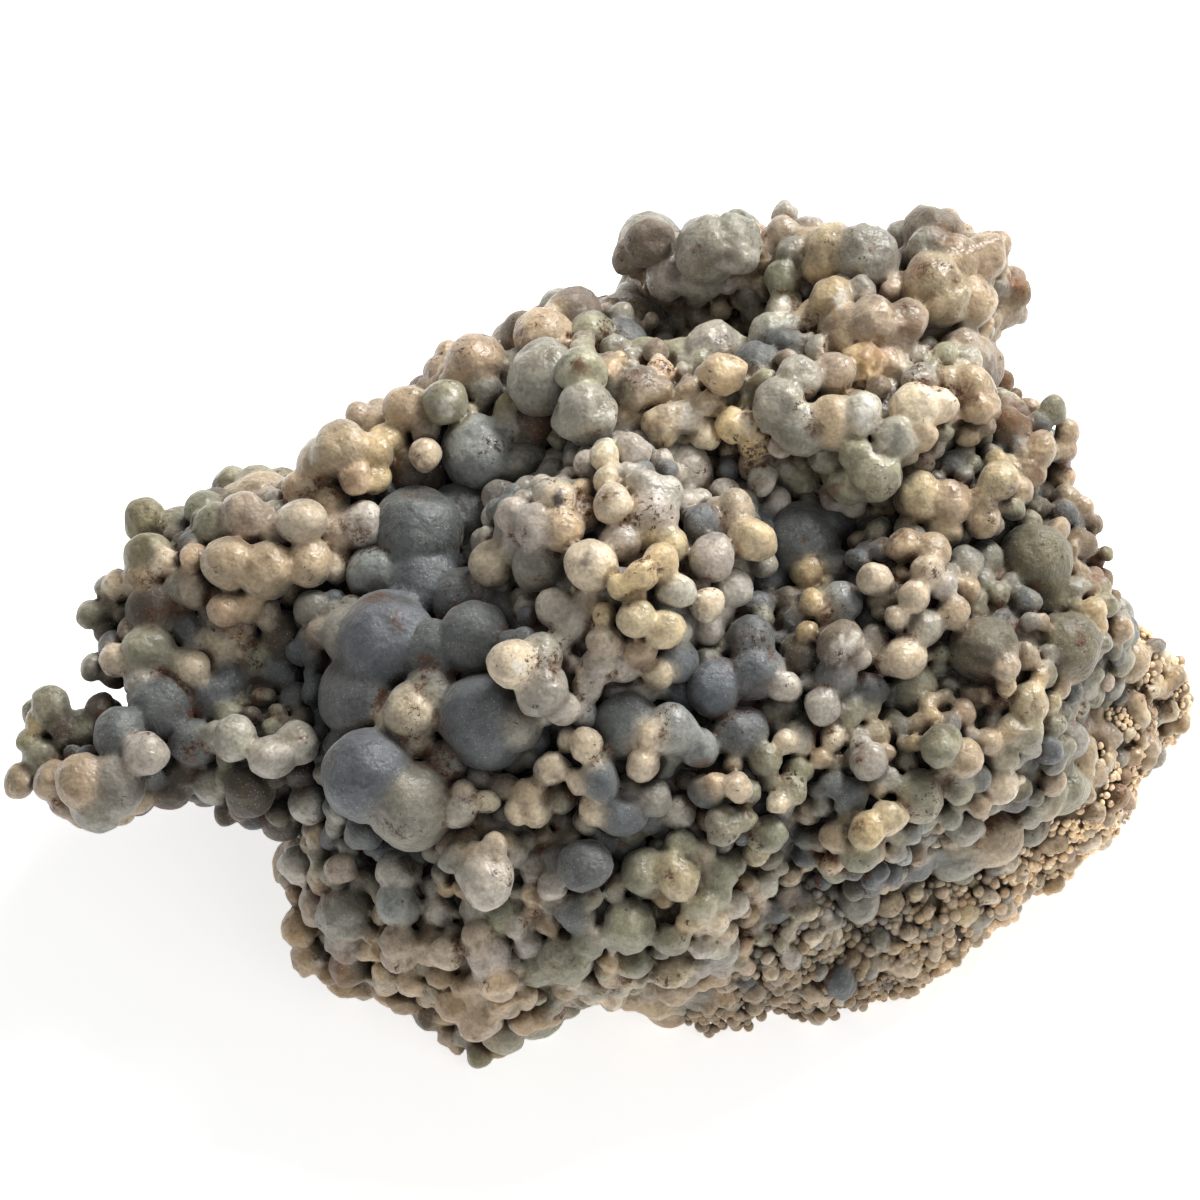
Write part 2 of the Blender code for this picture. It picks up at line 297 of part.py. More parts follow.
        (762, 940, 10, 1.1, "sage"), (765, 957, 8, 1.4, "cream"), (780, 945, 9, 1.2, "sage"),
        (790, 955, 13, 0.8, "lilac"), (745, 966, 10, 1.5, "peach"), (745, 978, 11, 0.6, "slate"),
        (720, 952, 20, 0.0, "lilac"), (713, 976, 10, 1.3, "peach"), (680, 996, 8, 1.2, "peach"),
        (735, 998, 5, 1.5, "peach"), (810, 991, 12, 1.1, "beige"), (822, 973, 6, 1.0, "mist"),
        (840, 980, 18, 0.4, "slate"), (875, 960, 8, 1.1, "beige"), (890, 903, 15, 1.2, "beige"),
        (915, 892, 10, 1.3, "straw"), (898, 922, 7, 1.2, "beige"), (905, 852, 10, 0.8, "mist"),
        (938, 843, 7, 1.4, "cream"), (962, 872, 13, 1.0, "sage"), (980, 858, 8, 1.3, "straw"),
        (988, 895, 11, 1.2, "cream"), (966, 912, 14, 1.1, "honey"), (1003, 908, 12, 0.8, "beige"),
        (970, 930, 14, 0.8, "beige"), (1000, 818, 7, 1.0, "lilac"), (1008, 829, 5, 1.2, "honey"),
        (965, 828, 20, 0.8, "ash"), (990, 832, 8, 1.1, "beige"), (1010, 865, 10, 1.0, "cream"),
        (1080, 755, 20, 0.8, "beige"), (1080, 725, 14, 0.9, "rose"), (1078, 775, 16, 0.9, "straw"),
        (1110, 735, 13, 0.9, "rose"), (1108, 757, 10, 1.0, "honey"), (1085, 795, 13, 0.9, "beige"),
        (1060, 803, 14, 0.8, "clay"), (1103, 681, 12, 1.0, "rose"), (1133, 755, 10, 0.9, "clay"),
        (1150, 692, 8, 1.2, "cream"), (1140, 717, 10, 1.1, "cream"), (1168, 712, 13, 0.8, "straw"),
        (1175, 680, 12, 0.7, "beige"), (1115, 795, 15, 0.4, "clay"), (1073, 700, 14, 0.2, "mist"),
        (1052, 720, 12, 0.3, "mist"),
    ],
}


# The edge of the cluster on the map.
OUTLINE = [
    (0, 780), (10, 765), (10, 740), (25, 725), (25, 700), (35, 688), (60, 690), (72, 705), (95, 695),
    (108, 697), (115, 687), (85, 678), (78, 665), (98, 650), (92, 625), (78, 605), (100, 597),
    (100, 582), (120, 568), (126, 545), (119, 525), (122, 508), (140, 498), (175, 513), (200, 493),
    (220, 487), (218, 465), (245, 467), (270, 462), (300, 468), (312, 445), (320, 430), (345, 420),
    (350, 410), (385, 398), (400, 390), (412, 360), (440, 355), (455, 340), (475, 331), (495, 340),
    (510, 315), (530, 307), (560, 288), (575, 284), (595, 297), (615, 295), (625, 280), (613, 255),
    (620, 230), (645, 213), (665, 215), (680, 235), (700, 215), (735, 207), (762, 222), (768, 208),
    (800, 208), (820, 216), (830, 230), (850, 225), (880, 243), (885, 225), (895, 215), (935, 200),
    (975, 215), (975, 232), (1000, 230), (1008, 265), (1025, 270), (1033, 295), (1025, 320),
    (1005, 333), (995, 350), (998, 365), (1012, 375), (1010, 390), (1023, 400), (1050, 398),
    (1065, 410), (1073, 430), (1075, 450), (1068, 487), (1083, 495), (1098, 515), (1097, 532),
    (1110, 545), (1115, 585), (1140, 622), (1165, 645), (1183, 660), (1190, 690), (1193, 715),
    (1190, 735), (1150, 775), (1138, 785), (1143, 805), (1135, 830), (1100, 852), (1060, 890),
    (1010, 920), (985, 935), (965, 962), (945, 970), (925, 990), (918, 1003), (885, 1020), (870, 1010),
    (820, 1030), (740, 1030), (700, 1037), (650, 1030), (640, 1015), (615, 1020), (595, 1012),
    (580, 1015), (578, 1030), (560, 1035), (525, 1050), (505, 1057), (475, 1068), (460, 1057),
    (445, 1040), (420, 1025), (410, 1014), (365, 1000), (345, 1006), (328, 990), (302, 978), (298, 955),
    (286, 930), (296, 910), (286, 888), (276, 875), (276, 858), (285, 843), (252, 830), (230, 828),
    (210, 805), (190, 800), (150, 808), (125, 830), (100, 834), (75, 825), (50, 808), (30, 795),
]


def eye_axes():
    """The eye's place, and the directions it looks along, to its right and up."""
    forward = np.array((0.0, math.cos(EYE_ELEVATION), -math.sin(EYE_ELEVATION)))
    right = np.array((1.0, 0.0, 0.0))
    up = np.cross(right, forward)
    return TARGET - forward * EYE_DISTANCE, forward, right, up


def map_ray(x, y):
    """Direction from the eye through a place on the map, one millimetre deep per unit."""
    _, forward, right, up = eye_axes()
    focal = MAP_SCALE * EYE_DISTANCE
    return forward + right * ((x - MAP_CENTRE[0]) / focal) + up * ((MAP_CENTRE[1] - y) / focal)


def at_height(x, y, height):
    eye, _, _, _ = eye_axes()
    ray = map_ray(x, y)
    return eye + ray * ((height - eye[2]) / ray[2])


def ellipsoid_distance(points, centre, radii):
    q = (points - centre) / radii
    k0 = np.sqrt((q * q).sum(-1)) + 1e-9
    k1 = np.sqrt(((q / radii) ** 2).sum(-1)) + 1e-9
    return k0 * (k0 - 1.0) / k1


def masses():
    return [
        (group, at_height(x, y, z), np.array((wide, wide, tall), float))
        for group, rows in MASSES.items()
        for x, y, z, wide, tall in rows
    ]


def distance_to_masses(points, bodies):
    return np.min([ellipsoid_distance(points, centre, radii) for _, centre, radii in bodies], axis=0)


def seat(x, y, bodies, depths=np.arange(330.0, 560.0, 0.5)):
    """Where the line of sight through a place on the map meets the masses, or passes nearest to them."""
    eye, _, _, _ = eye_axes()
    points = eye + map_ray(x, y) * depths[:, None]
    points = points[points[:, 2] > 0.5]
    gap = distance_to_masses(points, bodies)
    inside = np.nonzero(gap < 0)[0]
    return points[inside[0] if len(inside) else np.argmin(gap)]


def placed_grapes(bodies):
    """Each grape as (group, centre, radius, tint, seat)."""
    eye, forward, _, _ = eye_axes()
    found = []
    for group, rows in GRAPES.items():
        for x, y, size, lift, tint in rows:
            root = seat(x, y, bodies)
            toward = eye - root
            toward = toward / np.linalg.norm(toward)
            depth = (root - eye) @ forward
            radius = size * depth / (MAP_SCALE * EYE_DISTANCE)
            found.append((group, root + toward * radius * lift, radius, tint, root))
    return found


def on_map(points):
    """Places on the map of points in space, and the map's units to a millimetre at each."""
    eye, forward, right, up = eye_axes()
    offset = points - eye
    scale = MAP_SCALE * EYE_DISTANCE / (offset @ forward)
    x = MAP_CENTRE[0] + (offset @ right) * scale
    y = MAP_CENTRE[1] - (offset @ up) * scale
    return np.stack((x, y), axis=-1), scale


def depth_inside(places):
    """How far each place on the map lies inside the outline, below zero outside it."""
    start = np.array(OUTLINE, float)
    end = np.roll(start, -1, axis=0)
    side = end - start
    offset = places[:, None, :] - start
    along = np.clip((offset * side).sum(-1) / (side * side).sum(-1), 0.0, 1.0)
    gap = np.linalg.norm(offset - along[..., None] * side, axis=-1).min(axis=1)
    x, y = places[:, :1], places[:, 1:]
    spans = (start[:, 1] > y) != (end[:, 1] > y)
    rise = np.where(side[:, 1] == 0.0, 1.0, side[:, 1])
    crossing = start[:, 0] + side[:, 0] * (y - start[:, 1]) / rise
    inside = (spans & (x < crossing)).sum(axis=1) % 2 == 1
    return np.where(inside, gap, -gap)


def faces_eye(points, bodies):
    """True for the points that nothing hides from the eye."""
    eye, _, _, _ = eye_axes()
    toward = eye - points
    toward /= np.linalg.norm(toward, axis=1)[:, None]
    clear = np.ones(len(points), bool)
    for step in (2.5, 5.0, 8.0, 12.0, 18.0, 26.0, 36.0):
        clear &= distance_to_masses(points + toward * step, bodies) > 0.0
    return clear


def fill_grapes(bodies, placed):
    """Grapes that cover the back, the sides and the gaps, thrown at random and kept where there is room."""
    rng = np.random.default_rng(FILL_SEED)
    groups = [group for group, _, _ in bodies]
    middles = np.array([centre for _, centre, _ in bodies])
    shapes = np.array([radii for _, _, radii in bodies])
    area = shapes[:, 0] * (shapes[:, 0] + shapes[:, 2])
    centres = np.array([centre for _, centre, _, _, _ in placed])
    sizes = np.array([radius for _, _, radius, _, _ in placed])
    found = []
    for coarse, tries in FILL_PASSES:
        pick = rng.choice(len(bodies), size=tries, p=area / area.sum())
        direction = rng.normal(size=(tries, 3))
        direction /= np.linalg.norm(direction, axis=1)[:, None]
        roots = middles[pick] + direction * shapes[pick]
        radii = coarse * rng.uniform(0.7, 1.3, tries)
        radii *= np.array([FILL_SIZE.get(groups[k], 1.0) for k in pick])
        lifts = rng.uniform(0.1, 0.8, tries)
        seen = faces_eye(roots, bodies)
        lifts = np.where(seen, 0.5 * lifts, lifts)
        radii = np.where(seen, np.minimum(radii, SEEN_FILL * rng.uniform(0.6, 1.0, tries)), radii)
        points = roots + direction * (radii * lifts)[:, None]
        places, scale = on_map(points)
        keep = depth_inside(places) > radii * scale * 0.85
        keep &= distance_to_masses(roots, bodies) > -0.4
        keep &= (roots[:, 2] > FILL_FLOOR) & (points[:, 2] > 0.45 * radii)
        for k in np.nonzero(keep)[0]:
            room = np.linalg.norm(centres - points[k], axis=1) - sizes
            if room.min() < radii[k] * FILL_ROOM:
                continue
            centres = np.vstack((centres, points[k]))
            sizes = np.append(sizes, radii[k])
            found.append((groups[pick[k]], points[k], radii[k], "fill", roots[k]))
    return found


def ball(detail):
    """Corners and triangles of a round ball one unit in radius."""
    bm = bmesh.new()
    bmesh.ops.create_icosphere(bm, subdivisions=detail, radius=1.0)
    points = np.array([vertex.co[:] for vertex in bm.verts])
    faces = np.array([[vertex.index for vertex in face.verts] for face in bm.faces])
    bm.free()
    return points, faces


def ball_chain(start, end, radius):
    """Balls that overlap along a line, as the stem under a grape."""
    length = np.linalg.norm(end - start)
    count = max(2, math.ceil(length / (0.35 * radius)))
    return [start + (end - start) * k / count for k in range(count)]


def stacked_balls(bodies, grapes):
    """Every mass and grape as its own closed ball, all in one mesh."""
    fine = ball(4)
    middling = ball(3)
    small = ball(2)
    placed = [(fine, centre, radii) for _, centre, radii in bodies]
    for _, centre, radius, _, root in grapes:
        if radius < SMALLEST_MODELLED:
            continue
        placed.append((middling if radius > 2.2 else small, centre, radius))
        if np.linalg.norm(centre - root) > 0.8 * radius:
            for point in ball_chain(root, centre, STEM * radius):
                placed.append((small, point, STEM * radius))
    corners = []
    faces = []
    total = 0
    for (points, triangles), centre, radii in placed:
        corners.append(points * radii + centre)
        faces.append(triangles + total)
        total += len(points)
    corners = np.concatenate(corners) - np.array((*ORIGIN, 0.0))
    mesh = bpy.data.meshes.new("grape_agate")
    mesh.from_pydata((corners * METRES_PER_MM).tolist(), [], np.concatenate(faces).tolist())
    return mesh


def evaluated_mesh(obj):
    """The object's mesh with its modifiers applied, which are then removed from the object."""
    graph = bpy.context.evaluated_depsgraph_get()
    mesh = bpy.data.meshes.new_from_object(obj.evaluated_get(graph))
    obj.modifiers.clear()
    return mesh


def keep_largest_shell(mesh):
    """Removes every closed sheet of faces but the one with the most faces."""
    bm = bmesh.new()
    bm.from_mesh(mesh)
    left = set(bm.faces)
    shells = []
    while left:
        shell = [left.pop()]
        for face in shell:
            for edge in face.edges:
                near = [other for other in edge.link_faces if other in left]
                left.difference_update(near)
                shell.extend(near)
        shells.append(shell)
    shells.sort(key=len)
    for shell in shells[:-1]:
        bmesh.ops.delete(bm, geom=shell, context="FACES")
    bm.to_mesh(mesh)
    bm.free()


def table_cutter():
    """The block below z = 0 that the cluster is cut off by."""
    bm = bmesh.new()
    bmesh.ops.create_cube(bm, size=1.0)
    bmesh.ops.scale(bm, vec=CUTTER_SIZE, verts=bm.verts)
    bmesh.ops.translate(bm, vec=(0.0, 0.0, -CUTTER_SIZE[2] / 2.0), verts=bm.verts)
    mesh = bpy.data.meshes.new("cut_block")
    bm.to_mesh(mesh)
    bm.free()
    cutter = bpy.data.objects.new("cut_block", mesh)
    cutter.hide_render = True
    cutter.display_type = "WIRE"
    return cutter


def stone_material():
    material = bpy.data.materials.new("Pale chalcedony")
    material.use_nodes = True
    shader = material.node_tree.nodes["Principled BSDF"]
    shader.inputs["Base Color"].default_value = (0.57, 0.50, 0.44, 1.0)
    shader.inputs["Roughness"].default_value = 0.45
    shader.inputs["Metallic"].default_value = 0.0
    material.diffuse_color = (0.57, 0.50, 0.44, 1.0)
    return material


def collection(name):
    made = bpy.data.collections.new(name)
    bpy.context.scene.collection.children.link(made)
    return made


def build_cluster():
    bodies = masses()
    placed = placed_grapes(bodies)
    grapes = placed + fill_grapes(bodies, placed)
    cluster = bpy.data.objects.new("grape_agate", stacked_balls(bodies, grapes))
    collection("Grape agate").objects.link(cluster)
    cutter = table_cutter()
    collection("Cutters").objects.link(cutter)

    remesh = cluster.modifiers.new("Fuse", "REMESH")
    remesh.mode = "VOXEL"
    remesh.voxel_size = FUSE_SIZE
    cluster.data = evaluated_mesh(cluster)
    keep_largest_shell(cluster.data)

    triangles = sum(len(face.vertices) - 2 for face in cluster.data.polygons)
    decimate = cluster.modifiers.new("Simplify", "DECIMATE")
    decimate.ratio = min(1.0, MOST_TRIANGLES / triangles)
    cut = cluster.modifiers.new("Cut flat", "BOOLEAN")
    cut.operation = "DIFFERENCE"
    cut.solver = "EXACT"
    cut.object = cutter
    cluster.data = evaluated_mesh(cluster)
    keep_largest_shell(cluster.data)
    cluster.data.name = "grape_agate"
    cluster.data.materials.clear()
    cluster.data.materials.append(stone_material())
    return cluster


def main():
    for obj in list(bpy.data.objects):
        bpy.data.objects.remove(obj, do_unlink=True)
    build_cluster()


if __name__ == "__main__":
    main()
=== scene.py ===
"""Looks of the grape agate: fused chalcedony grapes over a lumpy crust, with fine druse at its right foot.

Sizes are in mm until a mesh is made, and meshes are in metres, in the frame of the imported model.
"""

import math

import bmesh
import bpy
import numpy as np
import openvdb as vdb
from mathutils import Matrix


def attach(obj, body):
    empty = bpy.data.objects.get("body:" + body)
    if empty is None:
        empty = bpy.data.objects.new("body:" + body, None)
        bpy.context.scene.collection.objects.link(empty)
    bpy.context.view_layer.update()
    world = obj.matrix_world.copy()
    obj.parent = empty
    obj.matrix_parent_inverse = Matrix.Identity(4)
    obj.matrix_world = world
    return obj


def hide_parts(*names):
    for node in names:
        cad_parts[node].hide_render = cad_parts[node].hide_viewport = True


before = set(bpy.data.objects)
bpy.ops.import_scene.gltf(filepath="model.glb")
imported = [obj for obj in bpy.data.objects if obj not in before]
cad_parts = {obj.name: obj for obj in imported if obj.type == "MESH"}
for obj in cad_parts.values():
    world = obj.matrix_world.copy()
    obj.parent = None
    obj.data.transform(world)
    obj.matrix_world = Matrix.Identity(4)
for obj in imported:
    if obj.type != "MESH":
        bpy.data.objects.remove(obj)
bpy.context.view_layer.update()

METRES_PER_MM = 0.001

# The map is drawn at eight units to a millimetre, for an eye 60 degrees above the near side.
MAP_SCALE = 8.0
MAP_WIDTH = 1200.0
MAP_CENTRE = (600.0, 600.0)
EYE_DISTANCE = 450.0
EYE_ELEVATION = math.radians(60.0)
TARGET = np.array((0.0, -11.0, 28.0))

# The cluster's own middle, which is moved to x = y = 0.
ORIGIN = (2.04, -6.31)
SHIFT = np.array((*ORIGIN, 0.0))

# The small grapes between the others: each pass has a radius in mm and a number of tries.
FILL_SEED = 41
FILL_PASSES = [(3.6, 6000), (2.4, 12000), (1.6, 16000)]
FILL_SIZE = {"skirt": 0.45, "foot": 0.85, "core": 1.15}
# Their largest radius where the eye sees them and their lowest seat, in mm, and the room left, in radii.
SEEN_FILL = 1.9
FILL_FLOOR = 1.0
FILL_ROOM = 0.15
# How far from a place, toward the eye, it is looked whether a mass hides it, in mm.
COVER_STEPS = (2.5, 5.0, 8.0, 12.0, 18.0, 26.0, 36.0)

FINE_STEP = 0.42
ROUGH_STEP = 1.0
# The distance that a cell holds where nothing is near, and the room left round the masses, in mm.
FAR = 9.0
# How far beyond a mass, a grape or a stem its cells are worked out, in mm.
MASS_REACH = 5.0
GRAPE_REACH = 2.0
STEM_REACH = 1.5
# Softness of the joints between masses and between grapes, in mm.
MASS_BLEND = 3.0
GRAPE_BLEND = 0.16
# The width of a stem beside its grape's, and the smallest grape that is fused, in mm.
STEM = 0.5
SMALLEST_FUSED = 0.8
# How far the crust between the grapes lies back, in mm.
SINK = 1.0

# Waves that warp the grapes: length and size in mm. The fine ones are stronger on a knobbly piece.
WARP_SEED = 3
BROAD_WAVES = ((11.0, 0.34), (6.5, 0.20))
FINE_WAVES = ((3.6, 0.10), (2.3, 0.05), (1.5, 0.025))
WAVES_EACH = 5
WAVE_GAIN = 0.55
# The range of a wave's phase, in radians.
TURN = 6.28
# The height in mm over which the warp fades away toward the flat cut.
CUT_FADE = 3.0

# How far out from the surface a crease is felt, in mm.
CREASE = 0.75

# How many times the tints, and what is known of each place, are mixed with those next to them.
EVENED = 4
FACTS_EVENED = 2
# How much of a tip the crust between the grapes counts as.
CRUST_TIP = 0.3

# The directions that tell an open place from a gap, for the painted shade and light, and how far along them
# it looks, in mm.
SKY_RAYS = 26
SKY_TURN = 2.39996
SKY_STEPS = (1.5, 3.0, 5.0, 8.0, 12.0, 18.0, 26.0)
# How much more the side that most light comes from counts, and what is left of a ray that meets the table.
SKY_LEAN = 2.4
LIGHT_WAY = np.array((0.42, 0.55, 0.72))
TABLE_SHADE = 0.6

# Each shown piece: the groups it holds, the most triangles it may have and how knobbly it is.
PIECES = {
    "arm_and_brow": (("arm", "brow"), 150000, 1.2),
    "crown_and_ledge": (("crown", "ledge"), 150000, 2.4),
    "centre": (("heart", "cluster"), 140000, 1.0),
    "flank": (("flank",), 140000, 1.5),
    "foot_and_skirt": (("foot", "skirt"), 130000, 2.2),
    "back": (("core",), 60000, 1.5),
}

# Colours by name, as red, green and blue from 0 to 255.
TINTS = {
    "cream": (208, 193, 169),
    "pearl": (184, 178, 168),
    "peach": (195, 172, 143),
    "rose": (168, 153, 135),
    "beige": (172, 153, 128),
    "honey": (196, 175, 137),
    "straw": (186, 171, 140),
    "moss": (138, 131, 103),
    "olive": (112, 106, 87),
    "sage": (141, 139, 119),
    "ash": (146, 143, 133),
    "taupe": (119, 107, 94),
    "lilac": (166, 159, 150),
    "mist": (146, 150, 149),
    "slate": (98, 102, 104),
    "blue": (98, 104, 110),
    # A dark brown: a real stain in the marks, and painted shade on the deep grapes and the arm's crust.
    "umber": (78, 68, 56),
    "rust": (120, 101, 76),
    "clay": (168, 145, 114),
    "iron": (112, 66, 30),
    # The white of the painted glints.
    "painted_light": (235, 233, 226),
    "soot": (48, 46, 46),
}

# What the small grapes between the others are tinted, by group.
FILL_TINTS = {
    "arm": ("olive", "taupe", "sage", "slate", "umber"),
    "brow": ("beige", "rose", "taupe", "ash"),
    "crown": ("beige", "ash", "beige", "rose", "lilac"),
    "ledge": ("ash", "beige", "sage", "taupe"),
    "heart": ("slate", "blue", "ash"),
    "cluster": ("lilac", "pearl", "ash", "slate"),
    "flank": ("sage", "beige", "ash", "olive", "slate"),
    "foot": ("clay", "beige", "sage", "ash"),
    "skirt": ("clay", "beige", "clay", "cream", "ash"),
    "core": ("taupe", "beige", "ash", "taupe"),
}

# How much paler or darker than its tints a group is, partly its own tone and partly painted light and shade:
# the arm and heart, which lie in shade, are darker. And the seed of each grape's own shade.
TINT_SEED = 7
GROUP_TONE_AND_SHADE = {"ledge": 1.35, "cluster": 1.2, "brow": 1.12, "arm": 0.95, "heart": 0.92}

# The crust that shows between the grapes, by group: its tint, how pale it is, and how strongly painted shade
# darkens its gaps.
CRUST_TINTS_AND_SHADE = {
    "arm": ("umber", 0.7, 1.0),
    "brow": ("taupe", 0.8, 0.8),
    "crown": ("taupe", 1.0, 0.65),
    "ledge": ("taupe", 1.0, 0.65),
    "heart": ("slate", 0.9, 1.0),
    "cluster": ("ash", 0.7, 0.75),
    "flank": ("olive", 0.7, 1.0),
    "foot": ("olive", 0.8, 0.9),
    "skirt": ("beige", 0.95, 0.9),
    "core": ("taupe", 0.7, 0.9),
}

# How far from its place on the masses a mark reaches, in mm, and the waves that make its edge ragged.
MARK_REACH = 11.0
MARK_SEED = 11
MARK_WAVES = (3.1, 1.9, 1.3, 0.9)
MARK_WAVES_EACH = 3

# Stains, dark crusts and white painted glints on broken faces: x, y and size on the map, tint and strength.
MARKS = [
    (1010, 415, 22, "iron", 0.6), (1045, 500, 18, "umber", 0.7), (1085, 545, 16, "umber", 0.6),
    (1105, 592, 14, "moss", 0.6), (535, 425, 20, "iron", 0.6), (650, 400, 34, "clay", 0.6),
    (690, 392, 20, "clay", 0.5), (915, 268, 16, "iron", 0.6), (875, 352, 20, "iron", 0.6),
    (340, 962, 20, "iron", 0.5), (1125, 792, 24, "iron", 0.5), (1020, 282, 18, "iron", 0.6),
    (62, 728, 20, "umber", 0.7), (579, 366, 9, "iron", 0.8), (912, 330, 14, "iron", 0.6),
    (160, 612, 20, "umber", 0.7), (828, 492, 14, "iron", 0.6), (320, 895, 16, "iron", 0.4),
    (530, 350, 16, "umber", 0.6), (412, 478, 16, "umber", 0.6), (940, 235, 16, "iron", 0.5),
    (1000, 380, 14, "iron", 0.8), (1040, 470, 14, "iron", 0.6), (1060, 590, 22, "moss", 0.5),
    (865, 410, 15, "painted_light", 0.9), (876, 452, 9, "painted_light", 0.8), (783, 306, 10, "painted_light", 0.7),
    (842, 298, 10, "painted_light", 0.8), (446, 404, 12, "painted_light", 0.6), (612, 418, 9, "painted_light", 0.7),
    (842, 652, 13, "painted_light", 0.7), (518, 668, 9, "painted_light", 0.7), (856, 640, 8, "painted_light", 0.6),
    (559, 500, 9, "soot", 0.9), (591, 560, 10, "soot", 0.6), (840, 665, 16, "umber", 0.5),
    (700, 768, 9, "iron", 0.7), (636, 372, 12, "umber", 0.6), (1096, 575, 14, "iron", 0.7),
]

# The fine druse: its groups, its grains' radii in mm, how close they lie, in radii, and how open they count.
DRUSE_SEED = 23
DRUSE_GROUPS = ("skirt",)
DRUSE_TRIES = 30000
MOST_DRUSE = 2300
DRUSE_RADII = (0.45, 0.95)
DRUSE_ROOM = 0.62
DRUSE_CELL = 2.0
DRUSE_TINTS = ("beige", "cream", "ash", "lilac", "rose", "clay", "straw", "clay")
DRUSE_LIGHT = 1.1

# Noises of the stone: waves to a metre, detail and roughness.
CLOUD = (230.0, 3.0, 0.6)
VEIL = (480.0, 2.0, 0.65)
GRAIN = (1900.0, 1.0, 0.7)
SPREAD = (170.0, 2.0, 0.7)
CHIP = (1400.0, 4.0, 0.78)
LUMPS = (560.0, 2.0, 0.6)
SKIN = (2600.0, 2.0, 0.7)
SPARKS_TO_METRE = 2600.0

# What the tint is multiplied by in pale and dark bands and grain, for the painted light on open tips, for
# the painted shade in gaps, and for the painted shade with a brown grime in seams.
PALE_BAND = (1.3, 1.28, 1.24, 1.0)
DARK_BAND = (0.66, 0.67, 0.69, 1.0)
DARK_GRAIN = (0.55, 0.52, 0.48, 1.0)
# Painted light: paler tips in open places.
PAINTED_TIP_LIGHT = (1.16, 1.14, 1.1, 1.0)
# Painted shade in the gaps.
PAINTED_GAP_SHADE = (0.11, 0.117, 0.13, 1.0)
# Painted shade with a brown grime in the seams.
SEAM_SHADE_AND_GRIME = (0.36, 0.30, 0.24, 1.0)

# Lights in watts, and how brightly the surroundings and the table glow.
WORLD_LIGHT = 0.28
KEY_WATTS = 10.0
FILL_WATTS = 1.2
TABLE_GLOW = 0.66
# Half the table's side, and how far it lies under the stone, in metres.
TABLE_HALF = 3.0
TABLE_DROP = 0.0002

# Masses: x, y on the map, height of the centre, half width, half height, in mm.
MASSES = {
    "arm": [
        (94, 778, 26, 4.2, 4.3), (143, 748, 27, 5.7, 4.9), (200, 732, 26, 6.7, 5.9),
        (272, 752, 26, 8.2, 7.3), (165, 643, 30, 6.4, 4.5), (180, 579, 33, 5.5, 3.7),
        (240, 565, 34, 8, 6), (240, 690, 26, 8, 5), (125, 620, 30, 2.3, 2.6), (263, 515, 29, 4.6, 3.8),
        (190, 554, 30, 4, 2.3), (58, 740, 26, 2.7, 2.9), (300, 650, 28, 8, 6),
    ],
    "brow": [
        (313, 537, 35, 6.7, 6.9), (366, 484, 37, 6.3, 7.7), (438, 453, 38, 7.1, 8.5),
        (486, 412, 38, 7.1, 8.5), (564, 374, 39, 7.2, 8.6), (624, 354, 38, 4.9, 7.4),
        (500, 450, 34, 10, 12),
    ],
    "crown": [
        (658, 267, 44, 2.6, 5), (724, 277, 42, 5.5, 8.7), (791, 289, 42, 6.5, 9.7),
        (842, 304, 42, 6.5, 9.8), (935, 295, 42, 7.3, 9.7), (963, 296, 40, 4.6, 10),
        (870, 345, 44, 8, 10), (925, 345, 42, 7, 9.3), (700, 350, 28, 11, 10), (780, 360, 30, 9, 9),
    ],
    "ledge": [
        (590, 405, 45, 7, 8), (660, 410, 45, 6, 7), (730, 410, 46, 6, 7), (800, 415, 46, 9, 9),
        (870, 440, 45, 9, 10), (925, 420, 45, 8, 9), (997, 446, 36, 4.1, 7.5), (700, 470, 36, 10, 9),
    ],
    "heart": [
        (420, 560, 31, 12, 11), (385, 660, 28, 12, 13), (400, 785, 25, 11, 13), (480, 690, 31, 12, 13),
    ],
    "cluster": [
        (560, 560, 42, 9, 11), (620, 520, 44, 8, 11), (640, 620, 42, 10, 12), (705, 570, 41, 8, 11),
        (550, 690, 37, 10, 12), (740, 535, 36, 9, 11),
    ],
    "flank": [
        (800, 560, 32, 13, 13), (730, 690, 33, 12, 13), (820, 690, 33, 11, 13), (900, 620, 36, 11, 13),
        (960, 525, 38, 9, 11), (1007, 475, 37, 5.7, 9.9), (1029, 577, 30, 7.7, 11.9),
        (1060, 650, 26, 7, 13), (980, 680, 30, 11, 15), (930, 765, 29, 9, 13), (850, 800, 28, 10, 13),
        (740, 795, 29, 11, 13), (620, 765, 31, 12, 13), (1000, 755, 27, 7, 12),
    ],
    "foot": [
        (500, 835, 25, 11, 13), (353, 867, 16, 6.5, 11.7), (357, 928, 10, 5.9, 9.2),
        (423, 919, 14, 8.9, 12), (500, 930, 15, 11, 13), (590, 901, 20, 10.6, 14.6),
        (680, 900, 21, 9, 13), (488, 994, 6, 5.6, 7.8), (572, 942, 8, 6.6, 8.1),
        (655, 953, 9, 4.8, 9.1),
    ],
    "skirt": [
        (760, 905, 11, 11, 13), (718, 958, 4, 8.3, 9.4), (818, 942, 3, 9.2, 10.3),
        (896, 898, 5, 10.2, 11.3), (954, 854, 7, 9.7, 10.9), (881, 952, 0, 6.6, 6.8),
        (1046, 786, 9, 9.4, 12.5), (1086, 736, 9, 8.3, 11.6), (1112, 685, 11, 6.7, 10.9),
        (1151, 705, 6, 4.4, 10.5), (1090, 797, 3, 5.3, 7.4), (1029, 839, 2, 6.5, 7.7),
    ],
    "core": [
        (625, 563, 12, 30, 24), (873, 527, 12, 21, 22), (777, 440, 14, 24, 20), (590, 470, 20, 15, 15),
        (930, 430, 22, 12, 16), (700, 350, 24, 14, 14),
    ],
}

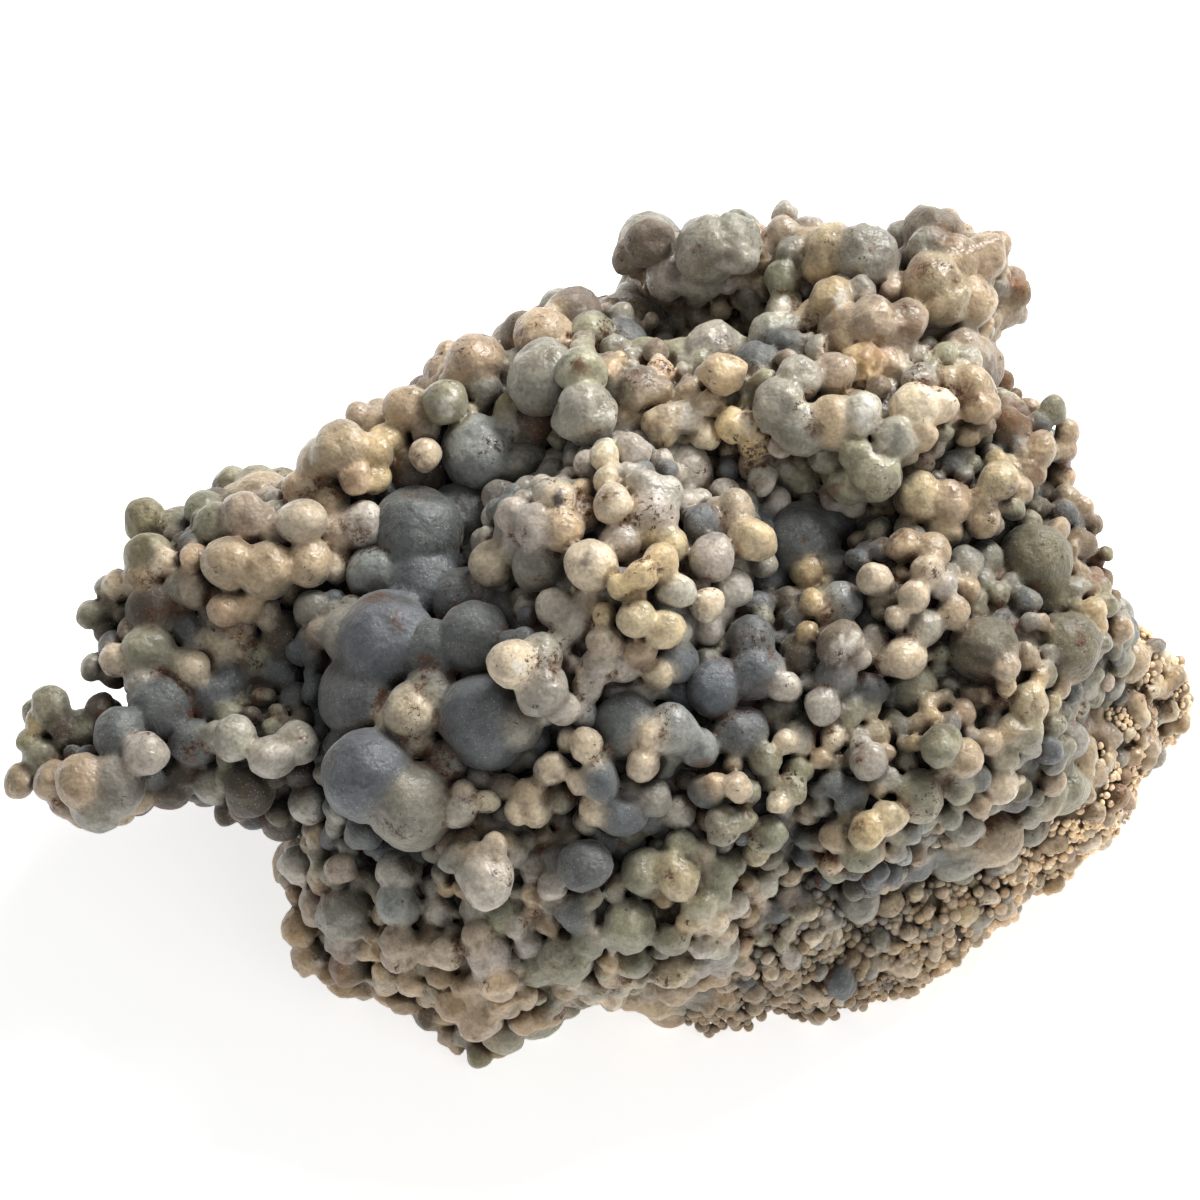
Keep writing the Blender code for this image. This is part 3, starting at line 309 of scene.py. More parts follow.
# Grapes: x, y and radius on the map, how far the centre stands out, in radii, and the tint.
GRAPES = {
    "arm": [
        (50, 708, 21, 0.6, "sage"), (36, 722, 13, 1.0, "honey"), (62, 722, 14, 0.8, "umber"),
        (30, 742, 14, 0.8, "moss"), (45, 757, 22, 0.5, "sage"), (85, 730, 22, 0.8, "sage"),
        (101, 706, 15, 0.2, "umber"), (120, 737, 27, 0.6, "slate"), (147, 755, 23, 1.6, "pearl"),
        (20, 780, 17, 0.8, "beige"), (55, 782, 22, 0.8, "beige"), (84, 784, 28, 1.0, "beige"),
        (115, 786, 31, 1.0, "ash"), (98, 803, 28, 1.0, "ash"), (138, 798, 19, 0.9, "beige"),
        (64, 803, 17, 0.9, "beige"), (80, 812, 16, 0.9, "beige"), (122, 812, 16, 0.8, "beige"),
        (168, 788, 24, 0.3, "umber"),
        (143, 520, 22, 0.8, "moss"), (150, 556, 26, 0.6, "moss"), (142, 580, 22, 0.5, "beige"),
        (232, 486, 20, 0.2, "sage"), (258, 489, 24, 0.2, "sage"), (286, 484, 20, 0.2, "sage"),
        (205, 508, 20, 0.2, "sage"), (180, 532, 24, 0.2, "sage"), (218, 528, 24, 0.3, "sage"),
        (238, 498, 16, 1.2, "peach"), (247, 520, 27, 1.0, "rose"), (164, 563, 15, 1.4, "cream"),
        (195, 560, 15, 1.4, "peach"), (230, 562, 28, 1.2, "beige"), (266, 570, 30, 1.3, "beige"),
        (290, 586, 20, 1.0, "beige"), (301, 521, 25, 1.6, "cream"), (280, 535, 20, 0.8, "rose"),
        (198, 592, 18, 0.9, "rose"), (183, 590, 20, 0.5, "ash"), (118, 582, 16, 0.9, "cream"),
        (107, 586, 13, 0.5, "sage"), (91, 612, 15, 0.6, "sage"), (108, 632, 15, 0.3, "umber"),
        (225, 610, 19, 2.0, "peach"), (247, 607, 17, 1.9, "peach"), (265, 612, 16, 1.8, "cream"),
        (238, 625, 17, 1.7, "peach"), (222, 642, 25, 1.2, "cream"), (242, 645, 20, 1.1, "cream"),
        (258, 650, 17, 0.8, "sage"), (222, 668, 17, 0.6, "cream"),
        (155, 612, 30, 0.1, "umber"), (190, 627, 18, 0.3, "slate"), (150, 652, 28, 0.3, "sage"),
        (118, 660, 18, 1.4, "cream"), (93, 667, 14, 0.8, "ash"), (116, 677, 15, 0.4, "umber"),
        (145, 682, 21, 1.0, "pearl"), (178, 662, 17, 0.8, "sage"), (192, 668, 18, 1.5, "cream"),
        (285, 635, 25, 0.4, "umber"), (256, 664, 18, 0.3, "sage"), (230, 682, 24, 0.2, "slate"),
        (281, 673, 20, 0.1, "slate"), (213, 697, 28, 0.0, "slate"), (160, 708, 34, 0.5, "slate"),
        (295, 700, 19, 0.3, "slate"), (300, 770, 18, 0.2, "umber"), (195, 742, 25, 0.1, "slate"),
        (180, 775, 22, 0.2, "umber"), (213, 785, 22, 1.0, "ash"), (219, 738, 18, 1.2, "ash"),
        (235, 738, 23, 1.7, "pearl"), (273, 757, 24, 1.7, "pearl"), (297, 743, 23, 1.8, "pearl"),
        (283, 721, 4, 2.6, "cream"), (250, 788, 26, 0.3, "umber"), (228, 814, 15, 0.3, "umber"),
        (255, 815, 17, 0.2, "slate"), (285, 820, 22, 0.2, "umber"), (308, 802, 21, 1.4, "pearl"),
    ],
    "brow": [
        (325, 465, 28, 0.6, "beige"), (342, 452, 30, 0.8, "beige"), (357, 417, 14, 0.3, "rose"),
        (377, 411, 13, 0.2, "rose"), (383, 430, 25, 0.8, "beige"), (410, 408, 26, 0.7, "beige"),
        (445, 405, 24, 1.2, "sage"), (372, 456, 22, 0.8, "honey"), (388, 442, 20, 1.0, "honey"),
        (355, 480, 18, 1.8, "peach"), (373, 482, 17, 1.2, "honey"), (305, 490, 22, 0.6, "beige"),
        (332, 505, 18, 0.9, "beige"), (425, 455, 18, 1.9, "cream"), (415, 476, 30, 0.1, "umber"),
        (440, 372, 18, 0.6, "rose"), (448, 356, 15, 0.3, "beige"), (476, 361, 30, 0.7, "beige"),
        (483, 389, 17, 0.9, "ash"), (457, 385, 18, 0.7, "beige"), (365, 526, 24, 1.4, "pearl"),
        (341, 532, 24, 1.0, "rose"), (309, 562, 24, 1.7, "beige"), (336, 565, 18, 2.0, "cream"),
        (480, 455, 38, 0.5, "mist"), (520, 465, 27, 0.7, "ash"), (511, 412, 18, 0.9, "moss"),
        (515, 425, 22, 0.6, "ash"), (538, 425, 24, 0.4, "umber"), (545, 378, 38, 0.5, "ash"),
        (518, 375, 26, 0.5, "ash"), (525, 335, 24, 0.5, "taupe"), (557, 315, 14, 1.1, "cream"),
        (572, 314, 29, 0.3, "taupe"), (612, 310, 15, 0.3, "ash"), (637, 308, 27, 0.6, "lilac"),
        (590, 338, 26, 0.5, "sage"), (622, 346, 28, 0.5, "slate"), (560, 462, 26, 0.0, "slate"),
    ],
    "ledge": [
        (580, 372, 25, 1.2, "sage"), (585, 415, 32, 1.1, "ash"), (609, 366, 11, 1.6, "peach"),
        (619, 358, 8, 2.2, "peach"), (638, 387, 22, 0.9, "ash"), (660, 390, 14, 0.8, "taupe"),
        (659, 363, 8, 0.9, "pearl"), (662, 336, 5, 1.0, "rose"), (692, 387, 14, 0.8, "ash"),
        (622, 440, 24, 0.9, "lilac"), (632, 452, 18, 1.1, "lilac"), (661, 425, 20, 1.3, "cream"),
        (663, 435, 18, 1.6, "honey"), (682, 420, 19, 1.5, "pearl"), (683, 443, 14, 1.8, "cream"),
        (705, 437, 17, 1.4, "cream"), (722, 373, 23, 1.5, "peach"), (690, 395, 16, 0.9, "rose"),
        (708, 405, 16, 0.8, "rose"), (731, 424, 17, 1.4, "honey"), (748, 421, 12, 2.2, "cream"),
        (733, 446, 5, 2.0, "rose"), (757, 440, 18, 0.9, "honey"), (780, 405, 27, 0.9, "ash"),
        (800, 378, 22, 0.8, "ash"), (800, 428, 28, 0.9, "ash"), (779, 446, 13, 1.9, "pearl"),
        (822, 455, 15, 1.2, "ash"), (835, 420, 28, 1.0, "beige"), (862, 412, 22, 1.3, "pearl"),
        (857, 450, 17, 1.9, "sage"), (835, 372, 22, 0.8, "rose"), (862, 366, 23, 0.8, "honey"),
        (887, 366, 20, 0.8, "rose"), (895, 440, 24, 1.0, "ash"), (850, 482, 22, 1.3, "sage"),
        (875, 475, 27, 1.4, "sage"), (835, 498, 18, 1.0, "lilac"), (855, 500, 15, 1.0, "ash"),
        (762, 483, 15, 1.2, "pearl"), (758, 465, 18, 0.8, "rose"), (905, 455, 13, 1.8, "sage"),
        (800, 480, 22, 0.2, "sage"), (866, 520, 18, 0.2, "umber"), (915, 408, 26, 1.2, "cream"),
        (938, 402, 20, 1.3, "cream"), (915, 432, 22, 1.1, "beige"), (938, 446, 9, 1.0, "pearl"),
    ],
    "crown": [
        (650, 240, 26, 0.8, "taupe"), (632, 254, 20, 0.6, "taupe"), (632, 276, 6, 1.4, "honey"),
        (668, 278, 24, 0.8, "lilac"), (681, 275, 17, 1.4, "ash"), (708, 252, 32, 0.8, "ash"),
        (735, 240, 26, 0.7, "ash"), (700, 275, 26, 0.5, "lilac"), (738, 254, 20, 1.4, "pearl"),
        (756, 242, 18, 0.9, "peach"), (785, 214, 14, 0.6, "lilac"), (783, 233, 16, 0.8, "rose"),
        (810, 232, 16, 0.4, "lilac"), (790, 253, 17, 0.5, "ash"), (782, 278, 20, 0.8, "sage"),
        (783, 308, 20, 1.7, "sage"), (758, 316, 12, 1.2, "ash"), (769, 338, 18, 1.4, "pearl"),
        (832, 252, 28, 0.8, "straw"), (866, 258, 35, 0.8, "ash"), (822, 268, 20, 1.0, "honey"),
        (832, 300, 20, 1.6, "honey"), (785, 345, 20, 0.0, "slate"), (755, 366, 24, 0.2, "slate"),
        (735, 335, 18, 0.1, "slate"), (845, 332, 28, 0.5, "beige"), (933, 232, 30, 0.7, "taupe"),
        (906, 240, 20, 0.6, "ash"), (930, 250, 22, 0.8, "ash"), (955, 258, 24, 0.8, "beige"),
        (983, 258, 26, 0.9, "beige"), (998, 243, 13, 0.9, "beige"), (920, 258, 16, 1.4, "pearl"),
        (935, 292, 36, 0.7, "beige"), (970, 300, 28, 0.8, "beige"), (1000, 305, 22, 0.7, "beige"),
        (1018, 288, 15, 0.5, "rust"), (1018, 310, 12, 0.5, "beige"), (905, 320, 24, 1.1, "rose"),
        (875, 322, 28, 0.7, "rose"), (903, 348, 17, 1.5, "rose"), (924, 350, 15, 1.0, "ash"),
        (962, 352, 24, 1.0, "rose"), (976, 342, 11, 1.5, "peach"), (920, 382, 20, 0.6, "lilac"),
        (974, 386, 20, 1.3, "peach"), (979, 407, 19, 1.6, "peach"), (1000, 380, 13, 0.6, "rust"),
        (1014, 398, 9, 1.0, "rust"),
    ],
    "heart": [
        (375, 574, 28, 0.8, "mist"), (418, 532, 46, 0.2, "slate"), (425, 586, 46, 0.2, "blue"),
        (463, 520, 36, 0.0, "slate"), (388, 640, 50, 0.45, "blue"), (348, 638, 28, 0.2, "ash"),
        (315, 608, 20, 1.0, "ash"), (322, 636, 16, 0.8, "rose"), (468, 600, 34, 0.3, "slate"),
        (475, 636, 36, 0.6, "slate"), (432, 652, 32, 0.5, "slate"), (500, 615, 28, 0.1, "slate"),
        (365, 697, 46, 0.5, "slate"), (332, 722, 27, 0.1, "slate"), (430, 690, 28, 0.6, "ash"),
        (411, 712, 29, 1.6, "cream"), (396, 722, 22, 1.2, "cream"), (415, 740, 21, 0.9, "rose"),
        (485, 720, 47, 0.5, "blue"), (520, 722, 25, 0.5, "ash"), (515, 755, 17, 0.9, "ash"),
        (490, 762, 14, 1.2, "pearl"), (368, 774, 46, 0.6, "blue"), (412, 806, 44, 0.8, "ash"),
        (448, 762, 23, 1.3, "ash"), (452, 755, 14, 1.8, "pearl"), (463, 790, 15, 2.0, "cream"),
        (459, 811, 18, 1.5, "pearl"), (486, 800, 14, 1.6, "cream"), (480, 560, 20, 0.9, "ash"),
        (491, 561, 23, 1.4, "cream"), (530, 583, 12, 1.6, "cream"), (538, 568, 26, 0.3, "ash"),
    ],
    "cluster": [
        (603, 459, 15.5, 1.8, "cream"), (607, 482, 14, 1.6, "cream"), (613, 505, 20, 1.8, "cream"),
        (581, 490, 12, 1.2, "peach"), (585, 515, 18, 0.9, "beige"), (559, 500, 18, 1.9, "cream"),
        (553, 497, 21, 1.3, "ash"), (516, 517, 20, 1.2, "lilac"), (537, 530, 24, 1.0, "lilac"),
        (562, 530, 24, 1.0, "beige"), (664, 495, 21, 1.6, "pearl"), (646, 487, 20, 1.2, "lilac"),
        (684, 502, 16, 1.3, "pearl"), (652, 518, 26, 1.3, "lilac"), (650, 532, 24, 1.5, "straw"),
        (672, 545, 18, 1.7, "straw"), (661, 562, 20, 2.2, "honey"), (643, 573, 18, 2.3, "honey"),
        (622, 583, 16, 2.2, "honey"), (640, 596, 9, 2.5, "honey"), (622, 545, 22, 0.8, "lilac"),
        (590, 565, 27, 1.7, "cream"), (577, 591, 7, 2.5, "cream"), (555, 611, 20, 1.6, "lilac"),
        (573, 621, 22, 1.3, "lilac"), (590, 604, 18, 0.6, "taupe"), (605, 613, 12.5, 1.9, "honey"),
        (636, 618, 20, 1.7, "straw"), (677, 592, 20, 1.5, "pearl"), (665, 633, 20, 1.7, "straw"),
        (606, 642, 20, 1.3, "rose"), (640, 652, 18, 1.2, "beige"), (601, 665, 20, 1.5, "lilac"),
        (625, 667, 17, 1.2, "pearl"), (583, 671, 8, 2.2, "cream"), (657, 676, 17, 1.6, "cream"),
        (588, 687, 16, 1.2, "lilac"), (615, 690, 16, 0.9, "lilac"), (640, 690, 17, 1.1, "pearl"),
        (512, 663, 27, 1.9, "cream"), (538, 660, 26, 1.1, "ash"), (543, 690, 28, 1.1, "ash"),
        (565, 712, 17, 1.5, "pearl"), (583, 712, 16, 1.1, "mist"), (675, 660, 22, 0.5, "blue"),
        (680, 690, 20, 0.4, "blue"), (725, 491, 15, 1.7, "lilac"), (735, 515, 21, 1.2, "rose"),
        (753, 540, 24, 1.7, "straw"), (713, 557, 23, 1.5, "lilac"), (736, 553, 8, 2.2, "honey"),
        (731, 588, 20, 1.4, "pearl"), (707, 604, 18, 1.9, "cream"), (702, 525, 19, 0.8, "slate"),
    ],
    "flank": [
        (800, 545, 40, 0.0, "slate"), (770, 575, 28, 0.0, "slate"), (830, 520, 25, -0.1, "slate"),
        (835, 570, 22, 0.1, "slate"), (807, 575, 16, 2.2, "honey"), (812, 603, 14, 2.3, "honey"),
        (807, 628, 12, 2.4, "honey"), (787, 605, 16, 1.4, "taupe"), (828, 612, 12, 1.6, "beige"),
        (843, 600, 20, 1.1, "mist"), (750, 640, 25, 0.7, "slate"), (705, 657, 14, 1.2, "sage"),
        (755, 672, 30, 0.4, "blue"), (715, 685, 30, 0.4, "blue"), (783, 688, 19, 1.5, "pearl"),
        (840, 645, 24, 1.1, "taupe"), (855, 660, 16, 1.2, "pearl"), (800, 650, 22, 0.2, "umber"),
        (835, 678, 24, 0.3, "slate"), (808, 680, 12, 0.8, "slate"), (870, 692, 20, 0.4, "slate"),
        (872, 640, 15, 1.1, "pearl"), (890, 658, 16, 1.6, "cream"), (905, 655, 22, 1.3, "cream"),
        (915, 688, 25, 0.8, "sage"), (822, 705, 19, 1.3, "pearl"), (848, 713, 18, 0.9, "sage"),
        (869, 710, 13, 1.3, "cream"), (785, 741, 13, 2.0, "cream"), (799, 739, 17, 1.6, "pearl"),
        (835, 736, 15, 1.5, "cream"), (822, 756, 12, 1.5, "peach"), (862, 743, 10, 2.4, "pearl"),
        (867, 761, 18, 1.5, "lilac"), (800, 770, 15, 1.1, "sage"), (790, 790, 16, 0.8, "sage"),
        (765, 760, 18, 0.6, "sage"), (778, 801, 12, 1.6, "cream"), (699, 747, 20, 1.4, "mist"),
        (655, 735, 18, 1.8, "cream"), (672, 731, 26, 1.2, "mist"), (645, 763, 17, 1.3, "cream"),
        (625, 725, 34, 0.1, "slate"), (740, 735, 28, 0.2, "slate"), (653, 798, 19, 0.8, "ash"),
        (678, 815, 17, 1.4, "pearl"), (706, 792, 18, 0.7, "slate"), (715, 783, 13, 1.6, "peach"),
        (736, 784, 16, 1.4, "cream"), (600, 780, 21, 0.9, "blue"), (594, 809, 16, 1.4, "cream"),
        (622, 813, 24, 0.6, "blue"), (630, 845, 18, 0.3, "slate"), (568, 741, 12, 2.2, "cream"),
        (585, 748, 17, 1.9, "cream"), (551, 770, 19, 2.0, "cream"), (541, 791, 10, 2.2, "cream"),
        (578, 783, 14, 1.9, "cream"), (560, 802, 16, 1.4, "sage"), (530, 795, 20, 1.4, "peach"),
        (536, 811, 16, 1.9, "cream"), (515, 811, 14, 1.4, "cream"), (505, 785, 17, 0.9, "taupe"),
        (480, 776, 15, 0.8, "ash"), (887, 735, 10, 0.5, "slate"), (915, 741, 10, 1.8, "honey"),
        (905, 745, 11, 1.0, "taupe"), (933, 717, 9, 1.2, "honey"), (940, 742, 22, 1.3, "sage"),
        (965, 758, 20, 1.3, "beige"), (990, 742, 15, 1.1, "beige"), (1002, 756, 17, 1.0, "sage"),
        (1000, 782, 20, 1.3, "cream"), (1017, 780, 8, 1.5, "cream"), (977, 803, 14, 0.9, "beige"),
        (960, 790, 15, 0.7, "sage"), (920, 795, 25, 1.1, "sage"), (1003, 668, 17, 1.3, "rose"),
        (1000, 650, 10, 1.2, "beige"), (1007, 687, 11, 2.0, "honey"), (1026, 652, 7, 1.6, "rose"),
        (985, 698, 9, 1.4, "beige"), (1004, 703, 8, 1.2, "beige"), (1040, 683, 11, 1.6, "honey"),
        (1030, 706, 22, 1.1, "straw"), (1050, 702, 12, 1.2, "straw"), (1012, 730, 16, 0.9, "beige"),
        (1028, 733, 18, 0.8, "sage"), (890, 818, 20, 1.5, "straw"), (868, 830, 20, 1.7, "honey"),
        (862, 853, 20, 1.5, "sage"), (836, 836, 18, 1.1, "beige"), (832, 862, 12, 1.6, "peach"),
        (838, 807, 7, 1.4, "sage"), (850, 795, 17, 0.4, "slate"), (910, 825, 14, 0.4, "mist"),
        (1052, 412, 15, 0.6, "sage"), (1030, 412, 14, 0.4, "beige"), (1068, 432, 13, 0.5, "beige"),
        (1062, 452, 16, 0.5, "beige"), (1008, 428, 22, 0.1, "rust"), (1040, 448, 17, 1.2, "beige"),
        (1030, 468, 17, 1.2, "beige"), (1018, 490, 15, 1.2, "beige"), (1000, 466, 15, 1.0, "honey"),
        (1000, 484, 22, 1.4, "straw"), (985, 500, 16, 1.2, "straw"), (918, 500, 26, 1.5, "straw"),
        (950, 502, 24, 0.8, "beige"), (945, 530, 20, 0.8, "beige"), (985, 522, 18, 1.0, "beige"),
        (994, 528, 12, 0.8, "lilac"), (930, 552, 20, 1.1, "beige"), (925, 572, 19, 1.3, "cream"),
        (912, 595, 18, 1.2, "cream"), (965, 564, 18, 0.8, "ash"), (985, 560, 18, 0.9, "ash"),
        (941, 587, 15, 0.9, "pearl"), (966, 588, 16, 0.8, "beige"), (953, 614, 18, 0.9, "beige"),
        (925, 628, 20, 0.6, "ash"), (986, 626, 10, 1.0, "cream"), (985, 650, 35, -0.2, "olive"),
        (1035, 560, 38, 0.4, "olive"), (1045, 592, 30, 0.3, "olive"), (1056, 528, 13, 1.1, "beige"),
        (1043, 500, 15, 0.5, "rust"), (1062, 478, 15, 0.4, "beige"), (1068, 500, 14, 0.3, "beige"),
        (1083, 508, 12, 0.3, "beige"), (1092, 524, 11, 0.3, "rust"), (1080, 545, 16, 0.2, "rust"),
        (1105, 552, 8, 0.4, "moss"), (1103, 577, 11, 0.3, "rust"), (1114, 592, 8, 0.3, "rust"),
        (1092, 612, 14, 1.2, "honey"), (1094, 628, 13, 1.1, "honey"), (1065, 645, 36, 0.6, "olive"),
        (904, 543, 18, 1.5, "peach"), (875, 575, 17, 1.6, "cream"), (895, 617, 14, 1.6, "cream"),
    ],
    "foot": [
        (300, 866, 22, 1.0, "pearl"), (340, 868, 17, 1.4, "rose"), (295, 896, 12, 0.7, "clay"),
        (301, 926, 20, 0.8, "clay"), (318, 903, 19, 1.0, "rose"), (350, 915, 32, 0.5, "ash"),
        (345, 942, 22, 0.7, "ash"), (311, 956, 19, 0.7, "clay"), (308, 970, 8, 1.0, "clay"),
        (348, 965, 22, 0.5, "rust"), (345, 988, 17, 0.8, "clay"), (362, 982, 20, 0.6, "clay"),
        (398, 872, 23, 1.4, "pearl"), (398, 903, 22, 1.1, "mist"), (437, 907, 17, 1.2, "pearl"),
        (365, 878, 17, 0.6, "umber"), (365, 832, 20, 0.4, "slate"), (475, 905, 16, 0.8, "ash"),
        (400, 938, 20, 1.1, "rose"), (400, 955, 18, 1.2, "rose"), (386, 975, 15, 1.1, "beige"),
        (411, 984, 15, 1.5, "peach"), (402, 1000, 14, 0.8, "clay"), (432, 945, 21, 0.7, "beige"),
        (444, 952, 18, 1.6, "cream"), (475, 940, 18, 1.0, "rose"), (440, 975, 14, 0.6, "clay"),
        (456, 859, 17, 1.5, "ash"), (493, 848, 15, 2.0, "cream"), (475, 858, 16, 1.6, "beige"),
        (485, 880, 29, 1.3, "pearl"), (515, 856, 15, 0.6, "ash"), (533, 868, 16, 0.7, "lilac"),
        (555, 888, 15, 0.9, "pearl"), (535, 895, 13, 0.9, "beige"), (585, 865, 27, 0.8, "slate"),
        (560, 862, 18, 0.4, "slate"), (522, 927, 15, 1.5, "pearl"), (527, 943, 15, 1.1, "pearl"),
        (505, 915, 22, 0.2, "sage"), (490, 955, 25, 0.1, "lilac"), (590, 932, 7, 1.4, "cream"),
        (575, 915, 20, 0.1, "slate"), (540, 965, 22, 0.5, "sage"), (565, 958, 28, 0.4, "sage"),
        (585, 945, 16, 0.7, "sage"), (572, 981, 12, 1.6, "cream"), (605, 967, 6, 2.0, "honey"),
        (612, 980, 12, 1.4, "beige"), (610, 992, 14, 1.3, "cream"), (635, 960, 20, 0.8, "sage"),
        (638, 980, 14, 1.0, "beige"), (655, 999, 22, 0.9, "honey"), (630, 925, 26, 0.8, "sage"),
        (645, 875, 24, 0.9, "sage"), (680, 846, 16, 1.4, "sage"), (672, 868, 16, 1.5, "straw"),
        (680, 880, 20, 1.3, "straw"), (705, 852, 13, 1.7, "cream"), (722, 822, 20, 1.1, "sage"),
        (745, 815, 14, 0.9, "sage"), (748, 790, 13, 1.0, "sage"), (720, 872, 20, 0.9, "sage"),
        (735, 862, 14, 1.1, "sage"), (770, 836, 20, 0.8, "sage"), (758, 852, 14, 1.0, "straw"),
        (718, 895, 14, 1.2, "sage"), (735, 903, 14, 1.0, "pearl"), (700, 905, 18, 0.9, "sage"),
        (712, 920, 14, 1.3, "cream"), (725, 931, 12, 1.1, "cream"), (672, 938, 18, 1.0, "sage"),
        (688, 922, 12, 1.3, "honey"), (700, 945, 15, 0.7, "pearl"), (700, 968, 15, 0.6, "lilac"),
        (673, 972, 20, 1.1, "straw"), (500, 985, 19, 1.2, "peach"), (455, 1003, 20, 0.9, "clay"),
        (480, 1015, 24, 0.8, "beige"), (505, 1003, 18, 0.8, "beige"), (525, 997, 14, 0.9, "beige"),
        (505, 1035, 21, 0.9, "sage"), (520, 1030, 9, 1.5, "honey"), (478, 1054, 14, 0.7, "moss"),
        (432, 1015, 15, 0.3, "umber"), (447, 1036, 12, 0.3, "clay"), (455, 1048, 8, 0.4, "clay"),
    ],
    "skirt": [
        (765, 885, 15, 1.3, "pearl"), (760, 905, 11, 1.0, "lilac"), (775, 912, 12, 0.5, "slate"),
        (788, 893, 15, 0.5, "taupe"), (800, 900, 12, 0.7, "ash"), (808, 914, 10, 1.3, "cream"),
        (795, 918, 10, 1.0, "sage"), (812, 882, 10, 1.0, "lilac"), (823, 911, 9, 1.0, "lilac"),
        (843, 901, 11, 0.9, "mist"), (862, 914, 9, 0.8, "ash"), (835, 932, 8, 1.4, "cream"),
        (762, 940, 10, 1.1, "sage"), (765, 957, 8, 1.4, "cream"), (780, 945, 9, 1.2, "sage"),
        (790, 955, 13, 0.8, "lilac"), (745, 966, 10, 1.5, "peach"), (745, 978, 11, 0.6, "slate"),
        (720, 952, 20, 0.0, "lilac"), (713, 976, 10, 1.3, "peach"), (680, 996, 8, 1.2, "peach"),
        (735, 998, 5, 1.5, "peach"), (810, 991, 12, 1.1, "beige"), (822, 973, 6, 1.0, "mist"),
        (840, 980, 18, 0.4, "slate"), (875, 960, 8, 1.1, "beige"), (890, 903, 15, 1.2, "beige"),
        (915, 892, 10, 1.3, "straw"), (898, 922, 7, 1.2, "beige"), (905, 852, 10, 0.8, "mist"),
        (938, 843, 7, 1.4, "cream"), (962, 872, 13, 1.0, "sage"), (980, 858, 8, 1.3, "straw"),
        (988, 895, 11, 1.2, "cream"), (966, 912, 14, 1.1, "honey"), (1003, 908, 12, 0.8, "beige"),
        (970, 930, 14, 0.8, "beige"), (1000, 818, 7, 1.0, "lilac"), (1008, 829, 5, 1.2, "honey"),
        (965, 828, 20, 0.8, "ash"), (990, 832, 8, 1.1, "beige"), (1010, 865, 10, 1.0, "cream"),
        (1080, 755, 20, 0.8, "beige"), (1080, 725, 14, 0.9, "rose"), (1078, 775, 16, 0.9, "straw"),
        (1110, 735, 13, 0.9, "rose"), (1108, 757, 10, 1.0, "honey"), (1085, 795, 13, 0.9, "beige"),
        (1060, 803, 14, 0.8, "clay"), (1103, 681, 12, 1.0, "rose"), (1133, 755, 10, 0.9, "clay"),
        (1150, 692, 8, 1.2, "cream"), (1140, 717, 10, 1.1, "cream"), (1168, 712, 13, 0.8, "straw"),
        (1175, 680, 12, 0.7, "beige"), (1115, 795, 15, 0.4, "clay"), (1073, 700, 14, 0.2, "mist"),
        (1052, 720, 12, 0.3, "mist"),
    ],
}


# The edge of the cluster on the map.
OUTLINE = [
    (0, 780), (10, 765), (10, 740), (25, 725), (25, 700), (35, 688), (60, 690), (72, 705), (95, 695),
    (108, 697), (115, 687), (85, 678), (78, 665), (98, 650), (92, 625), (78, 605), (100, 597),
    (100, 582), (120, 568), (126, 545), (119, 525), (122, 508), (140, 498), (175, 513), (200, 493),
    (220, 487), (218, 465), (245, 467), (270, 462), (300, 468), (312, 445), (320, 430), (345, 420),
    (350, 410), (385, 398), (400, 390), (412, 360), (440, 355), (455, 340), (475, 331), (495, 340),
    (510, 315), (530, 307), (560, 288), (575, 284), (595, 297), (615, 295), (625, 280), (613, 255),
    (620, 230), (645, 213), (665, 215), (680, 235), (700, 215), (735, 207), (762, 222), (768, 208),
    (800, 208), (820, 216), (830, 230), (850, 225), (880, 243), (885, 225), (895, 215), (935, 200),
    (975, 215), (975, 232), (1000, 230), (1008, 265), (1025, 270), (1033, 295), (1025, 320),
    (1005, 333), (995, 350), (998, 365), (1012, 375), (1010, 390), (1023, 400), (1050, 398),
    (1065, 410), (1073, 430), (1075, 450), (1068, 487), (1083, 495), (1098, 515), (1097, 532),
    (1110, 545), (1115, 585), (1140, 622), (1165, 645), (1183, 660), (1190, 690), (1193, 715),
    (1190, 735), (1150, 775), (1138, 785), (1143, 805), (1135, 830), (1100, 852), (1060, 890),
    (1010, 920), (985, 935), (965, 962), (945, 970), (925, 990), (918, 1003), (885, 1020), (870, 1010),
    (820, 1030), (740, 1030), (700, 1037), (650, 1030), (640, 1015), (615, 1020), (595, 1012),
    (580, 1015), (578, 1030), (560, 1035), (525, 1050), (505, 1057), (475, 1068), (460, 1057),
    (445, 1040), (420, 1025), (410, 1014), (365, 1000), (345, 1006), (328, 990), (302, 978), (298, 955),
    (286, 930), (296, 910), (286, 888), (276, 875), (276, 858), (285, 843), (252, 830), (230, 828),
    (210, 805), (190, 800), (150, 808), (125, 830), (100, 834), (75, 825), (50, 808), (30, 795),
]


def eye_axes():
    """The eye's place, and the directions it looks along, to its right and up."""
    forward = np.array((0.0, math.cos(EYE_ELEVATION), -math.sin(EYE_ELEVATION)))
    right = np.array((1.0, 0.0, 0.0))
    up = np.cross(right, forward)
    return TARGET - forward * EYE_DISTANCE, forward, right, up


def map_ray(x, y):
    """Direction from the eye through a place on the map, one millimetre deep per unit."""
    _, forward, right, up = eye_axes()
    focal = MAP_SCALE * EYE_DISTANCE
    return forward + right * ((x - MAP_CENTRE[0]) / focal) + up * ((MAP_CENTRE[1] - y) / focal)


def at_height(x, y, height):
    eye, _, _, _ = eye_axes()
    ray = map_ray(x, y)
    return eye + ray * ((height - eye[2]) / ray[2])


